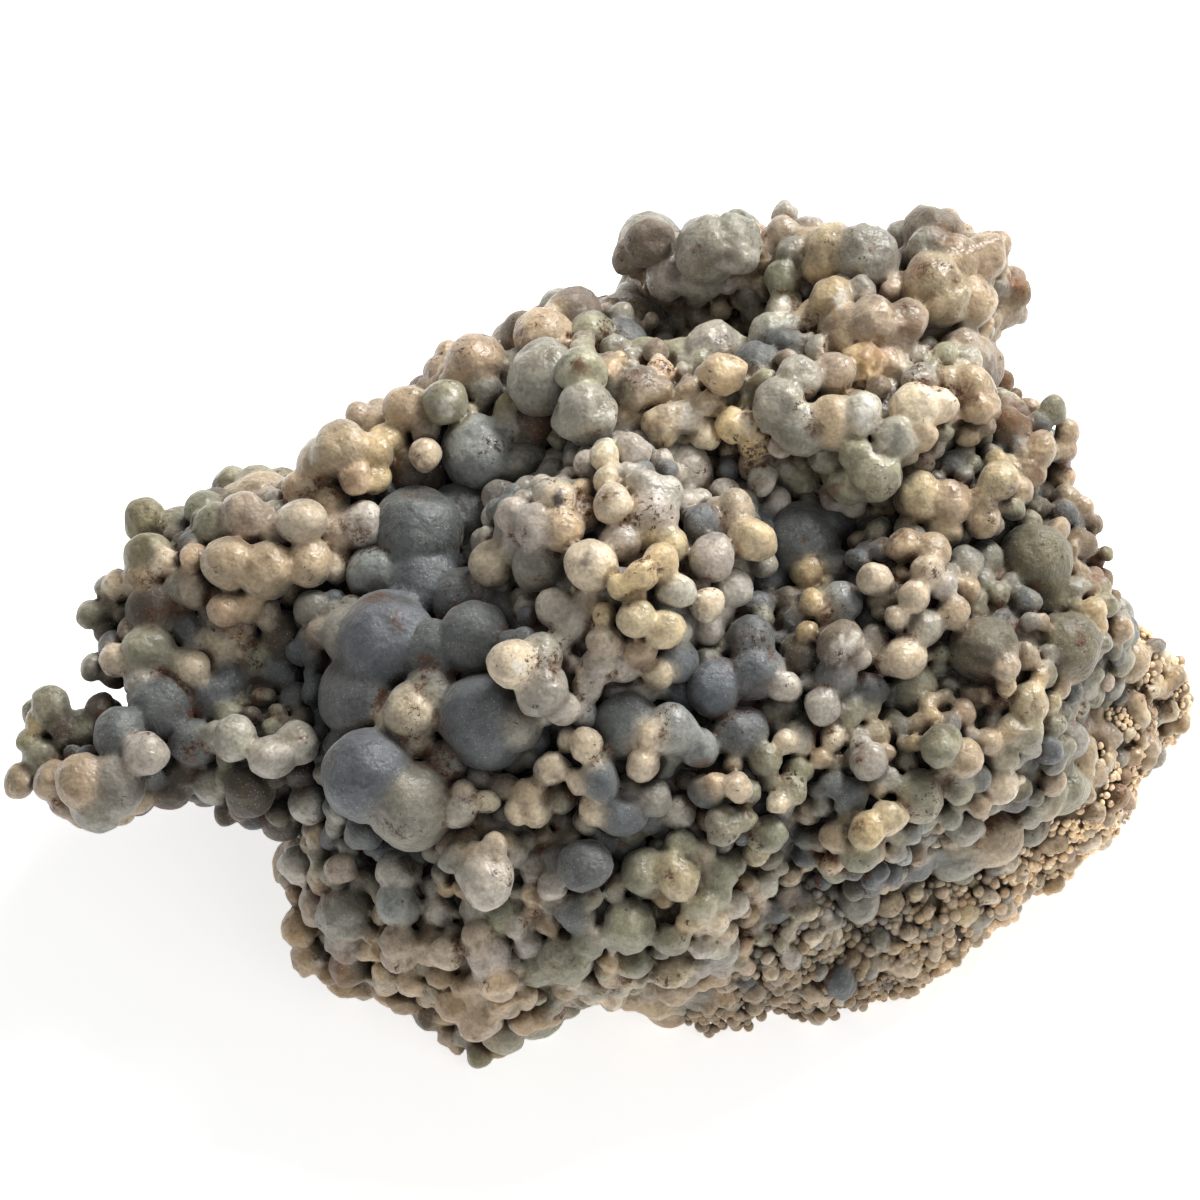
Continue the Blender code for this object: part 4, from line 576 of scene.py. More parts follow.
def ellipsoid_distance(points, centre, radii):
    q = (points - centre) / radii
    k0 = np.sqrt((q * q).sum(-1)) + 1e-9
    k1 = np.sqrt(((q / radii) ** 2).sum(-1)) + 1e-9
    return k0 * (k0 - 1.0) / k1


def masses():
    return [
        (group, at_height(x, y, z), np.array((wide, wide, tall), float))
        for group, rows in MASSES.items()
        for x, y, z, wide, tall in rows
    ]


def distance_to_masses(points, bodies):
    return np.min([ellipsoid_distance(points, centre, radii) for _, centre, radii in bodies], axis=0)


def seat(x, y, bodies, depths=np.arange(330.0, 560.0, 0.5)):
    """Where the line of sight through a place on the map meets the masses, or passes nearest to them."""
    eye, _, _, _ = eye_axes()
    points = eye + map_ray(x, y) * depths[:, None]
    points = points[points[:, 2] > 0.5]
    gap = distance_to_masses(points, bodies)
    inside = np.nonzero(gap < 0)[0]
    return points[inside[0] if len(inside) else np.argmin(gap)]


def placed_grapes(bodies):
    """Each grape as (group, centre, radius, tint, seat)."""
    eye, forward, _, _ = eye_axes()
    found = []
    for group, rows in GRAPES.items():
        for x, y, size, lift, tint in rows:
            root = seat(x, y, bodies)
            toward = eye - root
            toward = toward / np.linalg.norm(toward)
            depth = (root - eye) @ forward
            radius = size * depth / (MAP_SCALE * EYE_DISTANCE)
            found.append((group, root + toward * radius * lift, radius, tint, root))
    return found


def on_map(points):
    """Places on the map of points in space, and the map's units to a millimetre at each."""
    eye, forward, right, up = eye_axes()
    offset = points - eye
    scale = MAP_SCALE * EYE_DISTANCE / (offset @ forward)
    x = MAP_CENTRE[0] + (offset @ right) * scale
    y = MAP_CENTRE[1] - (offset @ up) * scale
    return np.stack((x, y), axis=-1), scale


def depth_inside(places):
    """How far each place on the map lies inside the outline, below zero outside it."""
    start = np.array(OUTLINE, float)
    end = np.roll(start, -1, axis=0)
    side = end - start
    offset = places[:, None, :] - start
    along = np.clip((offset * side).sum(-1) / (side * side).sum(-1), 0.0, 1.0)
    gap = np.linalg.norm(offset - along[..., None] * side, axis=-1).min(axis=1)
    x, y = places[:, :1], places[:, 1:]
    spans = (start[:, 1] > y) != (end[:, 1] > y)
    rise = np.where(side[:, 1] == 0.0, 1.0, side[:, 1])
    crossing = start[:, 0] + side[:, 0] * (y - start[:, 1]) / rise
    inside = (spans & (x < crossing)).sum(axis=1) % 2 == 1
    return np.where(inside, gap, -gap)


def faces_eye(points, bodies):
    """True for the points that nothing hides from the eye."""
    eye, _, _, _ = eye_axes()
    toward = eye - points
    toward /= np.linalg.norm(toward, axis=1)[:, None]
    clear = np.ones(len(points), bool)
    for step in COVER_STEPS:
        clear &= distance_to_masses(points + toward * step, bodies) > 0.0
    return clear


def thrown_seats(rng, bodies, tries):
    """Random places on the masses: which mass each is on, its direction from the middle and the place."""
    middles = np.array([centre for _, centre, _ in bodies])
    shapes = np.array([radii for _, _, radii in bodies])
    area = shapes[:, 0] * (shapes[:, 0] + shapes[:, 2])
    pick = rng.choice(len(bodies), size=tries, p=area / area.sum())
    direction = rng.normal(size=(tries, 3))
    direction /= np.linalg.norm(direction, axis=1)[:, None]
    return pick, direction, middles[pick] + direction * shapes[pick]


def fill_grapes(bodies, placed):
    """Grapes that cover the back, the sides and the gaps, thrown at random and kept where there is room."""
    rng = np.random.default_rng(FILL_SEED)
    groups = [group for group, _, _ in bodies]
    centres = np.array([centre for _, centre, _, _, _ in placed])
    sizes = np.array([radius for _, _, radius, _, _ in placed])
    found = []
    for coarse, tries in FILL_PASSES:
        pick, direction, roots = thrown_seats(rng, bodies, tries)
        radii = coarse * rng.uniform(0.7, 1.3, tries)
        radii *= np.array([FILL_SIZE.get(groups[k], 1.0) for k in pick])
        lifts = rng.uniform(0.1, 0.8, tries)
        seen = faces_eye(roots, bodies)
        lifts = np.where(seen, 0.5 * lifts, lifts)
        radii = np.where(seen, np.minimum(radii, SEEN_FILL * rng.uniform(0.6, 1.0, tries)), radii)
        points = roots + direction * (radii * lifts)[:, None]
        places, scale = on_map(points)
        keep = depth_inside(places) > radii * scale * 0.85
        keep &= distance_to_masses(roots, bodies) > -0.4
        keep &= (roots[:, 2] > FILL_FLOOR) & (points[:, 2] > 0.45 * radii)
        for k in np.nonzero(keep)[0]:
            room = np.linalg.norm(centres - points[k], axis=1) - sizes
            if room.min() < radii[k] * FILL_ROOM:
                continue
            centres = np.vstack((centres, points[k]))
            sizes = np.append(sizes, radii[k])
            found.append((groups[pick[k]], points[k], radii[k], "fill", roots[k]))
    return found


class Field:
    """Distances to the surface on a regular grid, in mm, and the grape that each cell belongs to."""

    def __init__(self, low, high, step):
        self.low = np.array(low, float)
        self.step = step
        self.count = np.ceil((np.array(high) - self.low) / step).astype(int) + 1
        self.value = np.full(self.count, FAR, np.float32)
        self.near = np.full(self.count, FAR, np.float32)
        self.owner = np.full(self.count, -1, np.int16)

    def cells(self, centre, reach):
        """The cells within reach of a place, and their x, y and z from it, or None outside the grid."""
        first = np.floor((centre - reach - self.low) / self.step).astype(int)
        first = np.maximum(first, 0)
        last = np.ceil((centre + reach - self.low) / self.step).astype(int) + 1
        last = np.minimum(last, self.count)
        if (last <= first).any():
            return None
        block = tuple(slice(a, b) for a, b in zip(first, last))
        x, y, z = (
            (self.low[k] + self.step * np.arange(first[k], last[k]) - centre[k]).astype(np.float32)
            for k in range(3)
        )
        return block, x[:, None, None], y[None, :, None], z[None, None, :]

    def join(self, block, form, blend, owner):
        """Joins a form to what the cells hold, softly, and notes its owner where it is the nearest grape."""
        before = self.value[block]
        mix = np.clip(0.5 + 0.5 * (form - before) / blend, 0.0, 1.0)
        self.value[block] = form + (before - form) * mix - blend * mix * (1.0 - mix)
        if owner >= 0:
            mine = form < self.near[block]
            self.near[block] = np.where(mine, form, self.near[block])
            self.owner[block] = np.where(mine, owner, self.owner[block])

    def add_mass(self, centre, radii):
        found = self.cells(centre, radii + MASS_REACH)
        if found is None:
            return
        block, x, y, z = found
        squashed = np.sqrt((x / radii[0]) ** 2 + (y / radii[1]) ** 2 + (z / radii[2]) ** 2) + 1e-6
        steep = radii**2
        slope = np.sqrt((x / steep[0]) ** 2 + (y / steep[1]) ** 2 + (z / steep[2]) ** 2) + 1e-6
        self.join(block, squashed * (squashed - 1.0) / slope, MASS_BLEND, -1)

    def add_ball(self, centre, radius, owner):
        found = self.cells(centre, np.full(3, radius + GRAPE_REACH))
        if found is None:
            return
        block, x, y, z = found
        self.join(block, np.sqrt(x * x + y * y + z * z) - radius, GRAPE_BLEND, owner)

    def add_stem(self, start, end, radius, owner):
        middle = (start + end) / 2.0
        axis = end - start
        length = np.linalg.norm(axis)
        found = self.cells(middle, np.full(3, length / 2.0 + radius + STEM_REACH))
        if found is None:
            return
        block, x, y, z = found
        along = (x * axis[0] + y * axis[1] + z * axis[2]) / length
        beyond = np.maximum(np.abs(along) - length / 2.0, 0.0)
        aside = np.sqrt(np.maximum(x * x + y * y + z * z - along * along, 0.0))
        self.join(block, np.sqrt(aside * aside + beyond * beyond) - radius, GRAPE_BLEND, owner)

    def cut_below(self, height):
        levels = (self.low[2] + self.step * np.arange(self.count[2])).astype(np.float32)
        self.value = np.maximum(self.value, (height - levels)[None, None, :])

    def index(self, points):
        place = np.rint((points - self.low) / self.step).astype(int)
        return tuple(np.clip(place, 0, self.count - 1).T)

    def at(self, points):
        """The field between the cells' centres, by trilinear interpolation."""
        place = np.clip((points - self.low) / self.step, 0.0, self.count - 1.001)
        cell = place.astype(int)
        part = (place - cell).astype(np.float32)
        total = np.zeros(len(points), np.float32)
        for corner in range(8):
            bits = np.array((corner & 1, corner >> 1 & 1, corner >> 2 & 1))
            weight = np.prod(np.where(bits, part, 1.0 - part), axis=1)
            total += weight * self.value[tuple((cell + bits).T)]
        return total


def grown_field(bodies, grapes, step):
    """The field of some masses and of the grapes on them, cut off flat at z = 0."""
    middles = np.array([centre for _, centre, _ in bodies])
    shapes = np.array([radii for _, _, radii in bodies])
    low = (middles - shapes).min(axis=0) - FAR
    high = (middles + shapes).max(axis=0) + FAR
    low[2] = max(low[2], -2.5 * step)
    field = Field(low, high, step)
    for _, centre, radii in bodies:
        field.add_mass(centre, np.maximum(radii - SINK, 0.6 * radii))
    for number, (_, centre, radius, _, root) in grapes:
        if radius < SMALLEST_FUSED:
            continue
        field.add_ball(centre, radius, number)
        away = centre - root
        away = away / (np.linalg.norm(away) + 1e-6)
        foot = root - away * (SINK + 0.3 * radius)
        if np.linalg.norm(centre - foot) > 0.7 * radius:
            field.add_stem(foot, centre, STEM * radius, number)
    field.cut_below(0.0)
    return field


def linear(tint):
    """A named colour in linear light."""
    value = np.array(TINTS[tint]) / 255.0
    return np.where(value <= 0.04045, value / 12.92, ((value + 0.055) / 1.055) ** 2.4)


def grape_colours(grapes):
    """Each grape's colour, the small ones drawn from their group's tints."""
    rng = np.random.default_rng(TINT_SEED)
    colours = []
    for group, _, _, tint, _ in grapes:
        pick = rng.integers(len(FILL_TINTS[group]))
        shade = linear(FILL_TINTS[group][pick] if tint == "fill" else tint)
        # The group's tone, partly painted light and shade, and a little random tone of each grape's own.
        shade = shade * GROUP_TONE_AND_SHADE.get(group, 1.0) * rng.uniform(0.92, 1.08)
        colours.append(shade * rng.uniform(0.98, 1.02, 3))
    return np.array(colours)


def new_object(name, points, faces, smooth=True):
    """An object made of points in metres and of faces with the same number of corners each."""
    mesh = bpy.data.meshes.new(name)
    mesh.vertices.add(len(points))
    mesh.vertices.foreach_set("co", np.ascontiguousarray(points, np.float32).ravel())
    sides = faces.shape[1]
    mesh.loops.add(faces.size)
    mesh.loops.foreach_set("vertex_index", np.ascontiguousarray(faces, np.int32).ravel())
    mesh.polygons.add(len(faces))
    mesh.polygons.foreach_set("loop_start", np.arange(0, faces.size, sides, dtype=np.int32))
    mesh.polygons.foreach_set("use_smooth", np.full(len(faces), smooth))
    mesh.update(calc_edges=True)
    mesh.validate()
    obj = bpy.data.objects.new(name, mesh)
    bpy.context.scene.collection.objects.link(obj)
    return obj


def corners_of(obj):
    """Places and normals of the object's corners, in mm in the cluster's own frame."""
    mesh = obj.data
    points = np.empty(len(mesh.vertices) * 3, np.float32)
    mesh.vertices.foreach_get("co", points)
    normals = np.empty(len(mesh.vertices) * 3, np.float32)
    mesh.vertex_normals.foreach_get("vector", normals)
    points = points.reshape(-1, 3) / METRES_PER_MM + SHIFT
    return points, normals.reshape(-1, 3)


def openness(points, normals, rough):
    """From 0 in a deep gap to 1 in the open: how much of what the surface faces is clear of the stone, the
    side that most light comes from counting more. Shade and light are painted by it.
    """
    start = points + normals * 0.8
    seen = np.zeros(len(points))
    most = np.full(len(points), 1e-6)
    for k in range(SKY_RAYS):
        rise = 1.0 - (k + 0.5) * 2.0 / SKY_RAYS
        turn = k * SKY_TURN
        flat = math.sqrt(1.0 - rise * rise)
        way = np.array((flat * math.cos(turn), flat * math.sin(turn), rise))
        facing = np.maximum(normals @ way, 0.0) * (1.0 + SKY_LEAN * max(way @ LIGHT_WAY, 0.0))
        clear = np.ones(len(points))
        for reach in SKY_STEPS:
            gap = rough.value[rough.index(start + way * reach)]
            clear = np.minimum(clear, np.clip(0.5 + gap / (0.25 * reach + 0.8), 0.0, 1.0))
        clear = np.where((start[:, 2] + way[2] * 20.0) < -6.0, clear * TABLE_SHADE, clear)
        seen += facing * clear
        most += facing
    return seen / most


def wave_way(rng, length):
    """A random direction for waves of a length, long enough that a step along it turns them fully."""
    way = rng.normal(size=3)
    way *= 2.0 * math.pi / length / np.linalg.norm(way)
    return way


def warped(points, knobbly):
    """The points moved a little by smooth waves, so that no grape is a perfect ball. The flat cut stays."""
    rng = np.random.default_rng(WARP_SEED)
    moved = np.zeros_like(points)
    for length, size in (*BROAD_WAVES, *((length, size * knobbly) for length, size in FINE_WAVES)):
        for _ in range(WAVES_EACH):
            way = wave_way(rng, length)
            push = rng.normal(size=3)
            push *= size * WAVE_GAIN / np.linalg.norm(push)
            moved += np.sin(points @ way + rng.uniform(0.0, TURN))[:, None] * push
    return points + moved * np.clip(points[:, 2:] / CUT_FADE, 0.0, 1.0)


def evened(obj, values, rounds):
    """Values at the corners, each mixed a few times with those next to it."""
    mesh = obj.data
    edges = np.empty(len(mesh.edges) * 2, np.int32)
    mesh.edges.foreach_get("vertices", edges)
    start, end = edges.reshape(-1, 2).T
    count = np.bincount(edges, minlength=len(values))[:, None] + 1.0
    for _ in range(rounds):
        total = values.copy()
        for k in range(values.shape[1]):
            total[:, k] += np.bincount(start, values[end, k], len(values))
            total[:, k] += np.bincount(end, values[start, k], len(values))
        values = total / count
    return values


def crust(points, bodies):
    """The crust's colour at each point, and how strongly painted shade darkens its gaps, from the mass
    nearest to it.
    """
    nearest = np.full(len(points), 1e9)
    colours = np.zeros((len(points), 3))
    gap_shade_weight = np.ones(len(points))
    for group, centre, radii in bodies:
        away = np.linalg.norm((points - centre) / radii, axis=1)
        # dark: how strongly painted shade darkens the gaps there.
        tint, gain, dark = CRUST_TINTS_AND_SHADE[group]
        closer = away < nearest
        nearest = np.where(closer, away, nearest)
        colours = np.where(closer[:, None], linear(tint) * gain, colours)
        gap_shade_weight = np.where(closer, dark, gap_shade_weight)
    return colours, gap_shade_weight


def marked(colours, points, normals, bodies):
    """The colours with the stains, dark crusts and white painted glints on broken faces of MARKS laid over
    them.
    """
    rng = np.random.default_rng(MARK_SEED)
    ragged = np.zeros(len(points))
    for length in MARK_WAVES:
        for _ in range(MARK_WAVES_EACH):
            way = wave_way(rng, length)
            ragged += np.sin(points @ way + rng.uniform(0.0, TURN)) / (len(MARK_WAVES) * MARK_WAVES_EACH)
    eye, _, _, _ = eye_axes()
    toward = eye - points
    toward /= np.linalg.norm(toward, axis=1)[:, None]
    shown = np.clip(3.0 * (toward * normals).sum(axis=1), 0.0, 1.0)
    places, _ = on_map(points)
    for x, y, size, tint, strength in MARKS:
        away = np.linalg.norm(places - np.array((x, y)), axis=1) / size
        cover = np.clip(2.0 * (1.0 - away + 1.5 * ragged), 0.0, 1.0) * strength * shown
        cover *= np.linalg.norm(points - seat(x, y, bodies), axis=1) < MARK_REACH
        colours = colours + (linear(tint) - colours) * cover[:, None]
    return colours


def paint(obj, colours, facts):
    """Stores the tint, and how open, how far out and how deep in a crease, as colour attributes; these three
    set where light and shade are painted, and the crease also where rust lies.
    """
    for name, values in (("tint", colours), ("shade_masks", facts)):
        attribute = obj.data.color_attributes.new(name, "FLOAT_COLOR", "POINT")
        full = np.concatenate((values, np.ones((len(values), 1))), axis=1)
        attribute.data.foreach_set("color", full.astype(np.float32).ravel())


def fused_mesh(name, field, most, knobbly):
    """The field's surface as an object, warped and brought down to about the most triangles it may have."""
    grid = vdb.FloatGrid(FAR)
    grid.copyFromArray(field.value)
    points, quads = grid.convertToQuads(isovalue=0.0)
    points = warped(points * field.step + field.low, knobbly) - SHIFT
    points[:, 2] = np.maximum(points[:, 2], 0.0)
    obj = new_object(name, points * METRES_PER_MM, quads)
    decimate = obj.modifiers.new("Simplify", "DECIMATE")
    decimate.ratio = min(1.0, most / (2.0 * len(quads)))
    graph = bpy.context.evaluated_depsgraph_get()
    old = obj.data
    obj.data = bpy.data.meshes.new_from_object(obj.evaluated_get(graph))
    obj.modifiers.clear()
    bpy.data.meshes.remove(old)
    obj.data.name = name
    return obj


def tip_share(points, owner, grapes):
    """From 0 at a grape's seat to 1 at its outermost point, for the grape that each point belongs to."""
    centre = np.array([centre for _, centre, _, _, _ in grapes])[owner]
    root = np.array([root for _, _, _, _, root in grapes])[owner]
    radius = np.array([radius for _, _, radius, _, _ in grapes])[owner]
    outward = centre - root + 1e-6
    outward /= np.linalg.norm(outward, axis=1)[:, None]
    return np.clip(0.5 + 0.5 * ((points - centre) * outward).sum(axis=1) / radius, 0.0, 1.0)


def fused_piece(name, groups, most, knobbly, bodies, grapes, colours, rough):
    """The masses and grapes of some groups as one mesh, with its colours."""
    own_bodies = [body for body in bodies if body[0] in groups]
    own_grapes = [(k, grape) for k, grape in enumerate(grapes) if grape[0] in groups]
    field = grown_field(own_bodies, own_grapes, FINE_STEP)
    obj = fused_mesh(name, field, most, knobbly)

    points, normals = corners_of(obj)
    owner = field.owner[field.index(points)]
    owned = (owner >= 0) & (field.near[field.index(points)] < 1.0)
    owner = np.maximum(owner, 0)
    ground, gap_shade_weight = crust(points, own_bodies)
    shade = np.where(owned[:, None], colours[owner], ground)
    tip = np.where(owned, tip_share(points, owner, grapes), CRUST_TIP)
    crease = 1.0 - np.clip(field.at(points + normals * CREASE) / CREASE, 0.0, 1.0)
    # How open each place counts for the painted shade and light, the gaps of some groups painted less dark.
    opened = 1.0 - gap_shade_weight * (1.0 - openness(points, normals, rough))
    facts = np.stack((opened, tip, crease), axis=1)
    facts[:, :2] = evened(obj, facts[:, :2], FACTS_EVENED)
    paint(obj, marked(evened(obj, shade, EVENED), points, normals, bodies), facts)
    return obj


def ball(detail):
    """Corners and triangles of a round ball one unit in radius."""
    bm = bmesh.new()
    bmesh.ops.create_icosphere(bm, subdivisions=detail, radius=1.0)
    points = np.array([vertex.co[:] for vertex in bm.verts])
    faces = np.array([[vertex.index for vertex in face.verts] for face in bm.faces])
    bm.free()
    return points, faces


def apart(points, radii, order):
    """Those of the numbers in order whose grains keep some room from each grain chosen before them."""
    chosen = []
    grid = {}
    for k in order:
        cell = tuple(np.floor(points[k] / DRUSE_CELL).astype(int))
        near = [
            other
            for dx in (-1, 0, 1)
            for dy in (-1, 0, 1)
            for dz in (-1, 0, 1)
            for other in grid.get((cell[0] + dx, cell[1] + dy, cell[2] + dz), ())
        ]
        gaps = np.linalg.norm(points[near] - points[k], axis=1) if near else np.array(())
        if (gaps < DRUSE_ROOM * (radii[near] + radii[k])).any():
            continue
        grid.setdefault(cell, []).append(k)
        chosen.append(k)
        if len(chosen) >= MOST_DRUSE:
            break
    return np.array(chosen)


def druse_shades(rng, centres):
    """The grains' colours: mixed tints inside, warmer at the edge, and peach to the right, with painted
    light that makes them paler toward the right and darker to the left.
    """
    names = np.array([linear(DRUSE_TINTS[k]) for k in rng.integers(len(DRUSE_TINTS), size=len(centres))])
    places, _ = on_map(centres)
    inner = np.clip(depth_inside(places) / 90.0, 0.0, 1.0)[:, None]
    shade = names * (0.75 * inner + 0.25) + linear("clay") * 1.25 * (0.75 - 0.75 * inner)
    side = np.clip((places[:, :1] - 850.0) / 230.0, 0.0, 1.0)
    # Peach toward the right, and painted light: brighter toward the right, darker toward the left.
    shade = (shade + (linear("peach") * 1.1 - shade) * 0.5 * side) * (0.72 + 1.0 * side)
    return shade * rng.uniform(0.85, 1.15, (len(centres), 1))


def druse_piece(name, bodies, rough):
    """The finest grains, each its own small ball, over the low right foot and in the gaps near it."""
    rng = np.random.default_rng(DRUSE_SEED)
    own = [body for body in bodies if body[0] in DRUSE_GROUPS]
    _, direction, roots = thrown_seats(rng, own, DRUSE_TRIES)
    places, scale = on_map(roots)
    right = np.clip((places[:, 0] - 1010.0) / 110.0, 0.0, 1.0)
    radii = rng.uniform(*DRUSE_RADII, DRUSE_TRIES) ** 1.2 * (1.0 - 0.45 * right)
    points = roots + direction * (radii * rng.uniform(0.3, 1.3, DRUSE_TRIES))[:, None]
    keep = distance_to_masses(roots, bodies) > -0.3
    keep &= depth_inside(places) > radii * scale * 0.8
    keep &= points[:, 2] > radii * 0.8
    keep &= rough.at(points) > -0.5 * radii
    keep &= rough.at(points) < 1.3
    chosen = apart(points, radii, np.nonzero(keep)[0])
    corners, triangles = ball(2)
    squash = rng.uniform(0.85, 1.15, (len(chosen), 3))
    spots = corners[None] * (radii[chosen, None] * squash)[:, None, :] + points[chosen][:, None, :]
    spots = spots.reshape(-1, 3)
    faces = triangles[None] + (np.arange(len(chosen)) * len(corners))[:, None, None]
    obj = new_object(name, (spots - SHIFT) * METRES_PER_MM, faces.reshape(-1, 3))
    shade = np.repeat(druse_shades(rng, points[chosen]), len(corners), axis=0)
    normals = np.tile(corners, (len(chosen), 1))
    sunk = 1.0 - np.clip(rough.at(spots + normals * 0.4) / 0.8, 0.0, 1.0)
    opened = np.minimum(DRUSE_LIGHT * openness(spots, normals, rough), 1.0)
    facts = np.stack((opened, np.full(len(spots), 0.75), 0.5 * sunk), axis=1)
    paint(obj, shade, facts)
    return obj


class Nodes:
    """Short ways to add shader nodes and join them."""

    def __init__(self, material):
        material.use_nodes = True
        self.tree = material.node_tree
        self.shader = self.tree.nodes["Principled BSDF"]

    def add(self, kind, **settings):
        node = self.tree.nodes.new(kind)
        for key, value in settings.items():
            setattr(node, key, value)
        return node

    def put(self, socket, value):
        """Links a socket to another one, or sets its value."""
        if isinstance(value, bpy.types.NodeSocket):
            self.tree.links.new(value, socket)
        else:
            socket.default_value = value

    def shader_settings(self, settings):
        """Sets the shader's own sockets by name."""
        for name, value in settings.items():
            self.shader.inputs[name].default_value = value

    def maths(self, operation, a, b):
        node = self.add("ShaderNodeMath", operation=operation)
        self.put(node.inputs[0], a)
        self.put(node.inputs[1], b)
        return node.outputs[0]

    def ramp(self, value, low, high, from_value=0.0, to_value=1.0):
        """Value turned smoothly from from_value at low to to_value at high."""
        node = self.add("ShaderNodeMapRange", interpolation_type="SMOOTHSTEP")
        self.put(node.inputs["Value"], value)
        node.inputs["From Min"].default_value = low
        node.inputs["From Max"].default_value = high
        node.inputs["To Min"].default_value = from_value
        node.inputs["To Max"].default_value = to_value
        return node.outputs["Result"]

    def mix(self, amount, a, b, kind="MIX"):
        node = self.add("ShaderNodeMix", data_type="RGBA", blend_type=kind)
        self.put(node.inputs["Factor"], amount)
        self.put(node.inputs[6], a)
        self.put(node.inputs[7], b)
        return node.outputs[2]

    def noise(self, place, per_metre, detail, roughness):
        node = self.add("ShaderNodeTexNoise")
        self.put(node.inputs["Vector"], place)
        node.inputs["Scale"].default_value = per_metre
        node.inputs["Detail"].default_value = detail
        node.inputs["Roughness"].default_value = roughness
        return node.outputs["Fac"]

    def cells(self, place, per_metre):
        node = self.add("ShaderNodeTexVoronoi")
        self.put(node.inputs["Vector"], place)
        node.inputs["Scale"].default_value = per_metre
        return node.outputs["Distance"]

    def bump(self, height, distance, strength, under=None):
        node = self.add("ShaderNodeBump")
        node.inputs["Strength"].default_value = strength
        node.inputs["Distance"].default_value = distance
        self.put(node.inputs["Height"], height)
        if under is not None:
            self.put(node.inputs["Normal"], under)
        return node.outputs["Normal"]


def socket_colour(tint, gain):
    return (*(linear(tint) * gain), 1.0)


def chalcedony():
    """The stone: each grape's tint, mottled, with painted shade in the gaps and painted light on the open
    tips, speckled, under a waxy skin.
    """
    material = bpy.data.materials.new("Chalcedony")
    nodes = Nodes(material)
    place = nodes.add("ShaderNodeTexCoord").outputs["Object"]
    tint = nodes.add("ShaderNodeAttribute", attribute_name="tint").outputs["Color"]
    shade_masks = nodes.add("ShaderNodeAttribute", attribute_name="shade_masks").outputs["Vector"]
    split = nodes.add("ShaderNodeSeparateXYZ")
    nodes.put(split.inputs[0], shade_masks)
    opened, tip, crease = split.outputs[0], split.outputs[1], split.outputs[2]

    # Cloudy bands inside the stone, a few mm across, and a fine crystalline grain.
    cloud = nodes.noise(place, *CLOUD)
    veil = nodes.noise(place, *VEIL)
    grain = nodes.noise(place, *GRAIN)
    mottled = nodes.mix(nodes.ramp(cloud, 0.4, 0.68), tint, PALE_BAND, "MULTIPLY")
    mottled = nodes.mix(nodes.ramp(veil, 0.36, 0.52, 0.6, 0.0), mottled, DARK_BAND, "MULTIPLY")
    mottled = nodes.mix(nodes.ramp(grain, 0.36, 0.6, 0.4, 0.0), mottled, DARK_GRAIN, "MULTIPLY")

    # Painted light makes the tips in open places paler, and painted shade darkens the deep places.
    painted_light = nodes.maths("MULTIPLY", nodes.ramp(tip, 0.45, 0.95), nodes.ramp(opened, 0.5, 0.9))
    paler = nodes.mix(painted_light, mottled, PAINTED_TIP_LIGHT, "MULTIPLY")
    gap_shade = nodes.maths("MULTIPLY", nodes.ramp(opened, 0.08, 0.72, 1.0, 0.0), 0.95)
    shaded = nodes.mix(gap_shade, paler, PAINTED_GAP_SHADE, "MULTIPLY")
    # Painted shade, with a brown grime, darkens the creases.
    seam_shade_and_grime = nodes.maths("MULTIPLY", nodes.ramp(crease, 0.25, 0.85), 0.7)
    shaded = nodes.mix(seam_shade_and_grime, shaded, SEAM_SHADE_AND_GRIME, "MULTIPLY")

    # Ragged brown specks on the skin, thicker on some grapes than on others, and rust in some creases.
    spread = nodes.noise(place, *SPREAD)
    chip = nodes.noise(place, *CHIP)
    rusty = nodes.maths("MULTIPLY", nodes.ramp(spread, 0.5, 0.66), nodes.ramp(crease, 0.1, 0.4))
    rusty = nodes.maths("MULTIPLY", rusty, nodes.ramp(chip, 0.42, 0.55, 0.0, 0.9))
    stained = nodes.mix(rusty, shaded, socket_colour("iron", 0.8))
    level = nodes.maths("ADD", chip, nodes.ramp(spread, 0.44, 0.74, -0.085, 0.09))
    speck = nodes.ramp(level, 0.61, 0.64, 0.0, 0.92)
    speckled = nodes.mix(speck, stained, socket_colour("iron", 0.35))

    # Painted glints: bright grains that catch the light.
    spark = nodes.ramp(nodes.cells(place, SPARKS_TO_METRE), 0.2, 0.12, 0.0, 0.4)
    spark = nodes.maths("MULTIPLY", spark, nodes.ramp(cloud, 0.38, 0.55))
    glinting = nodes.mix(spark, speckled, socket_colour("painted_light", 1.0))
    nodes.put(nodes.shader.inputs["Base Color"], glinting)

    # The dark slaty grapes are duller than the pale waxy ones.
    grey = nodes.add("ShaderNodeRGBToBW")
    nodes.put(grey.inputs[0], tint)
    dull = nodes.ramp(grey.outputs[0], 0.14, 0.36, 0.24, 0.0)
    gloss = nodes.ramp(veil, 0.3, 0.7, 0.2, 0.42)
    nodes.put(nodes.shader.inputs["Roughness"], nodes.maths("ADD", gloss, dull))
    nodes.shader.subsurface_method = "BURLEY"
    nodes.shader_settings({
        "IOR": 1.54,
        "Specular IOR Level": 0.5,
        "Subsurface Weight": 0.5,
        "Subsurface Radius": (1.0, 0.85, 0.7),
        "Subsurface Scale": 0.0018,
        "Sheen Weight": 0.3,
        "Sheen Roughness": 0.45,
        "Sheen Tint": (1.0, 0.95, 0.86, 1.0),
    })

    # Two bumps, of low lumps and of the skin's fine texture.
    lumps = nodes.bump(nodes.noise(place, *LUMPS), 0.0009, 0.5)
    skin = nodes.bump(nodes.noise(place, *SKIN), 0.00022, 0.4, lumps)
    nodes.put(nodes.shader.inputs["Normal"], skin)
    return material


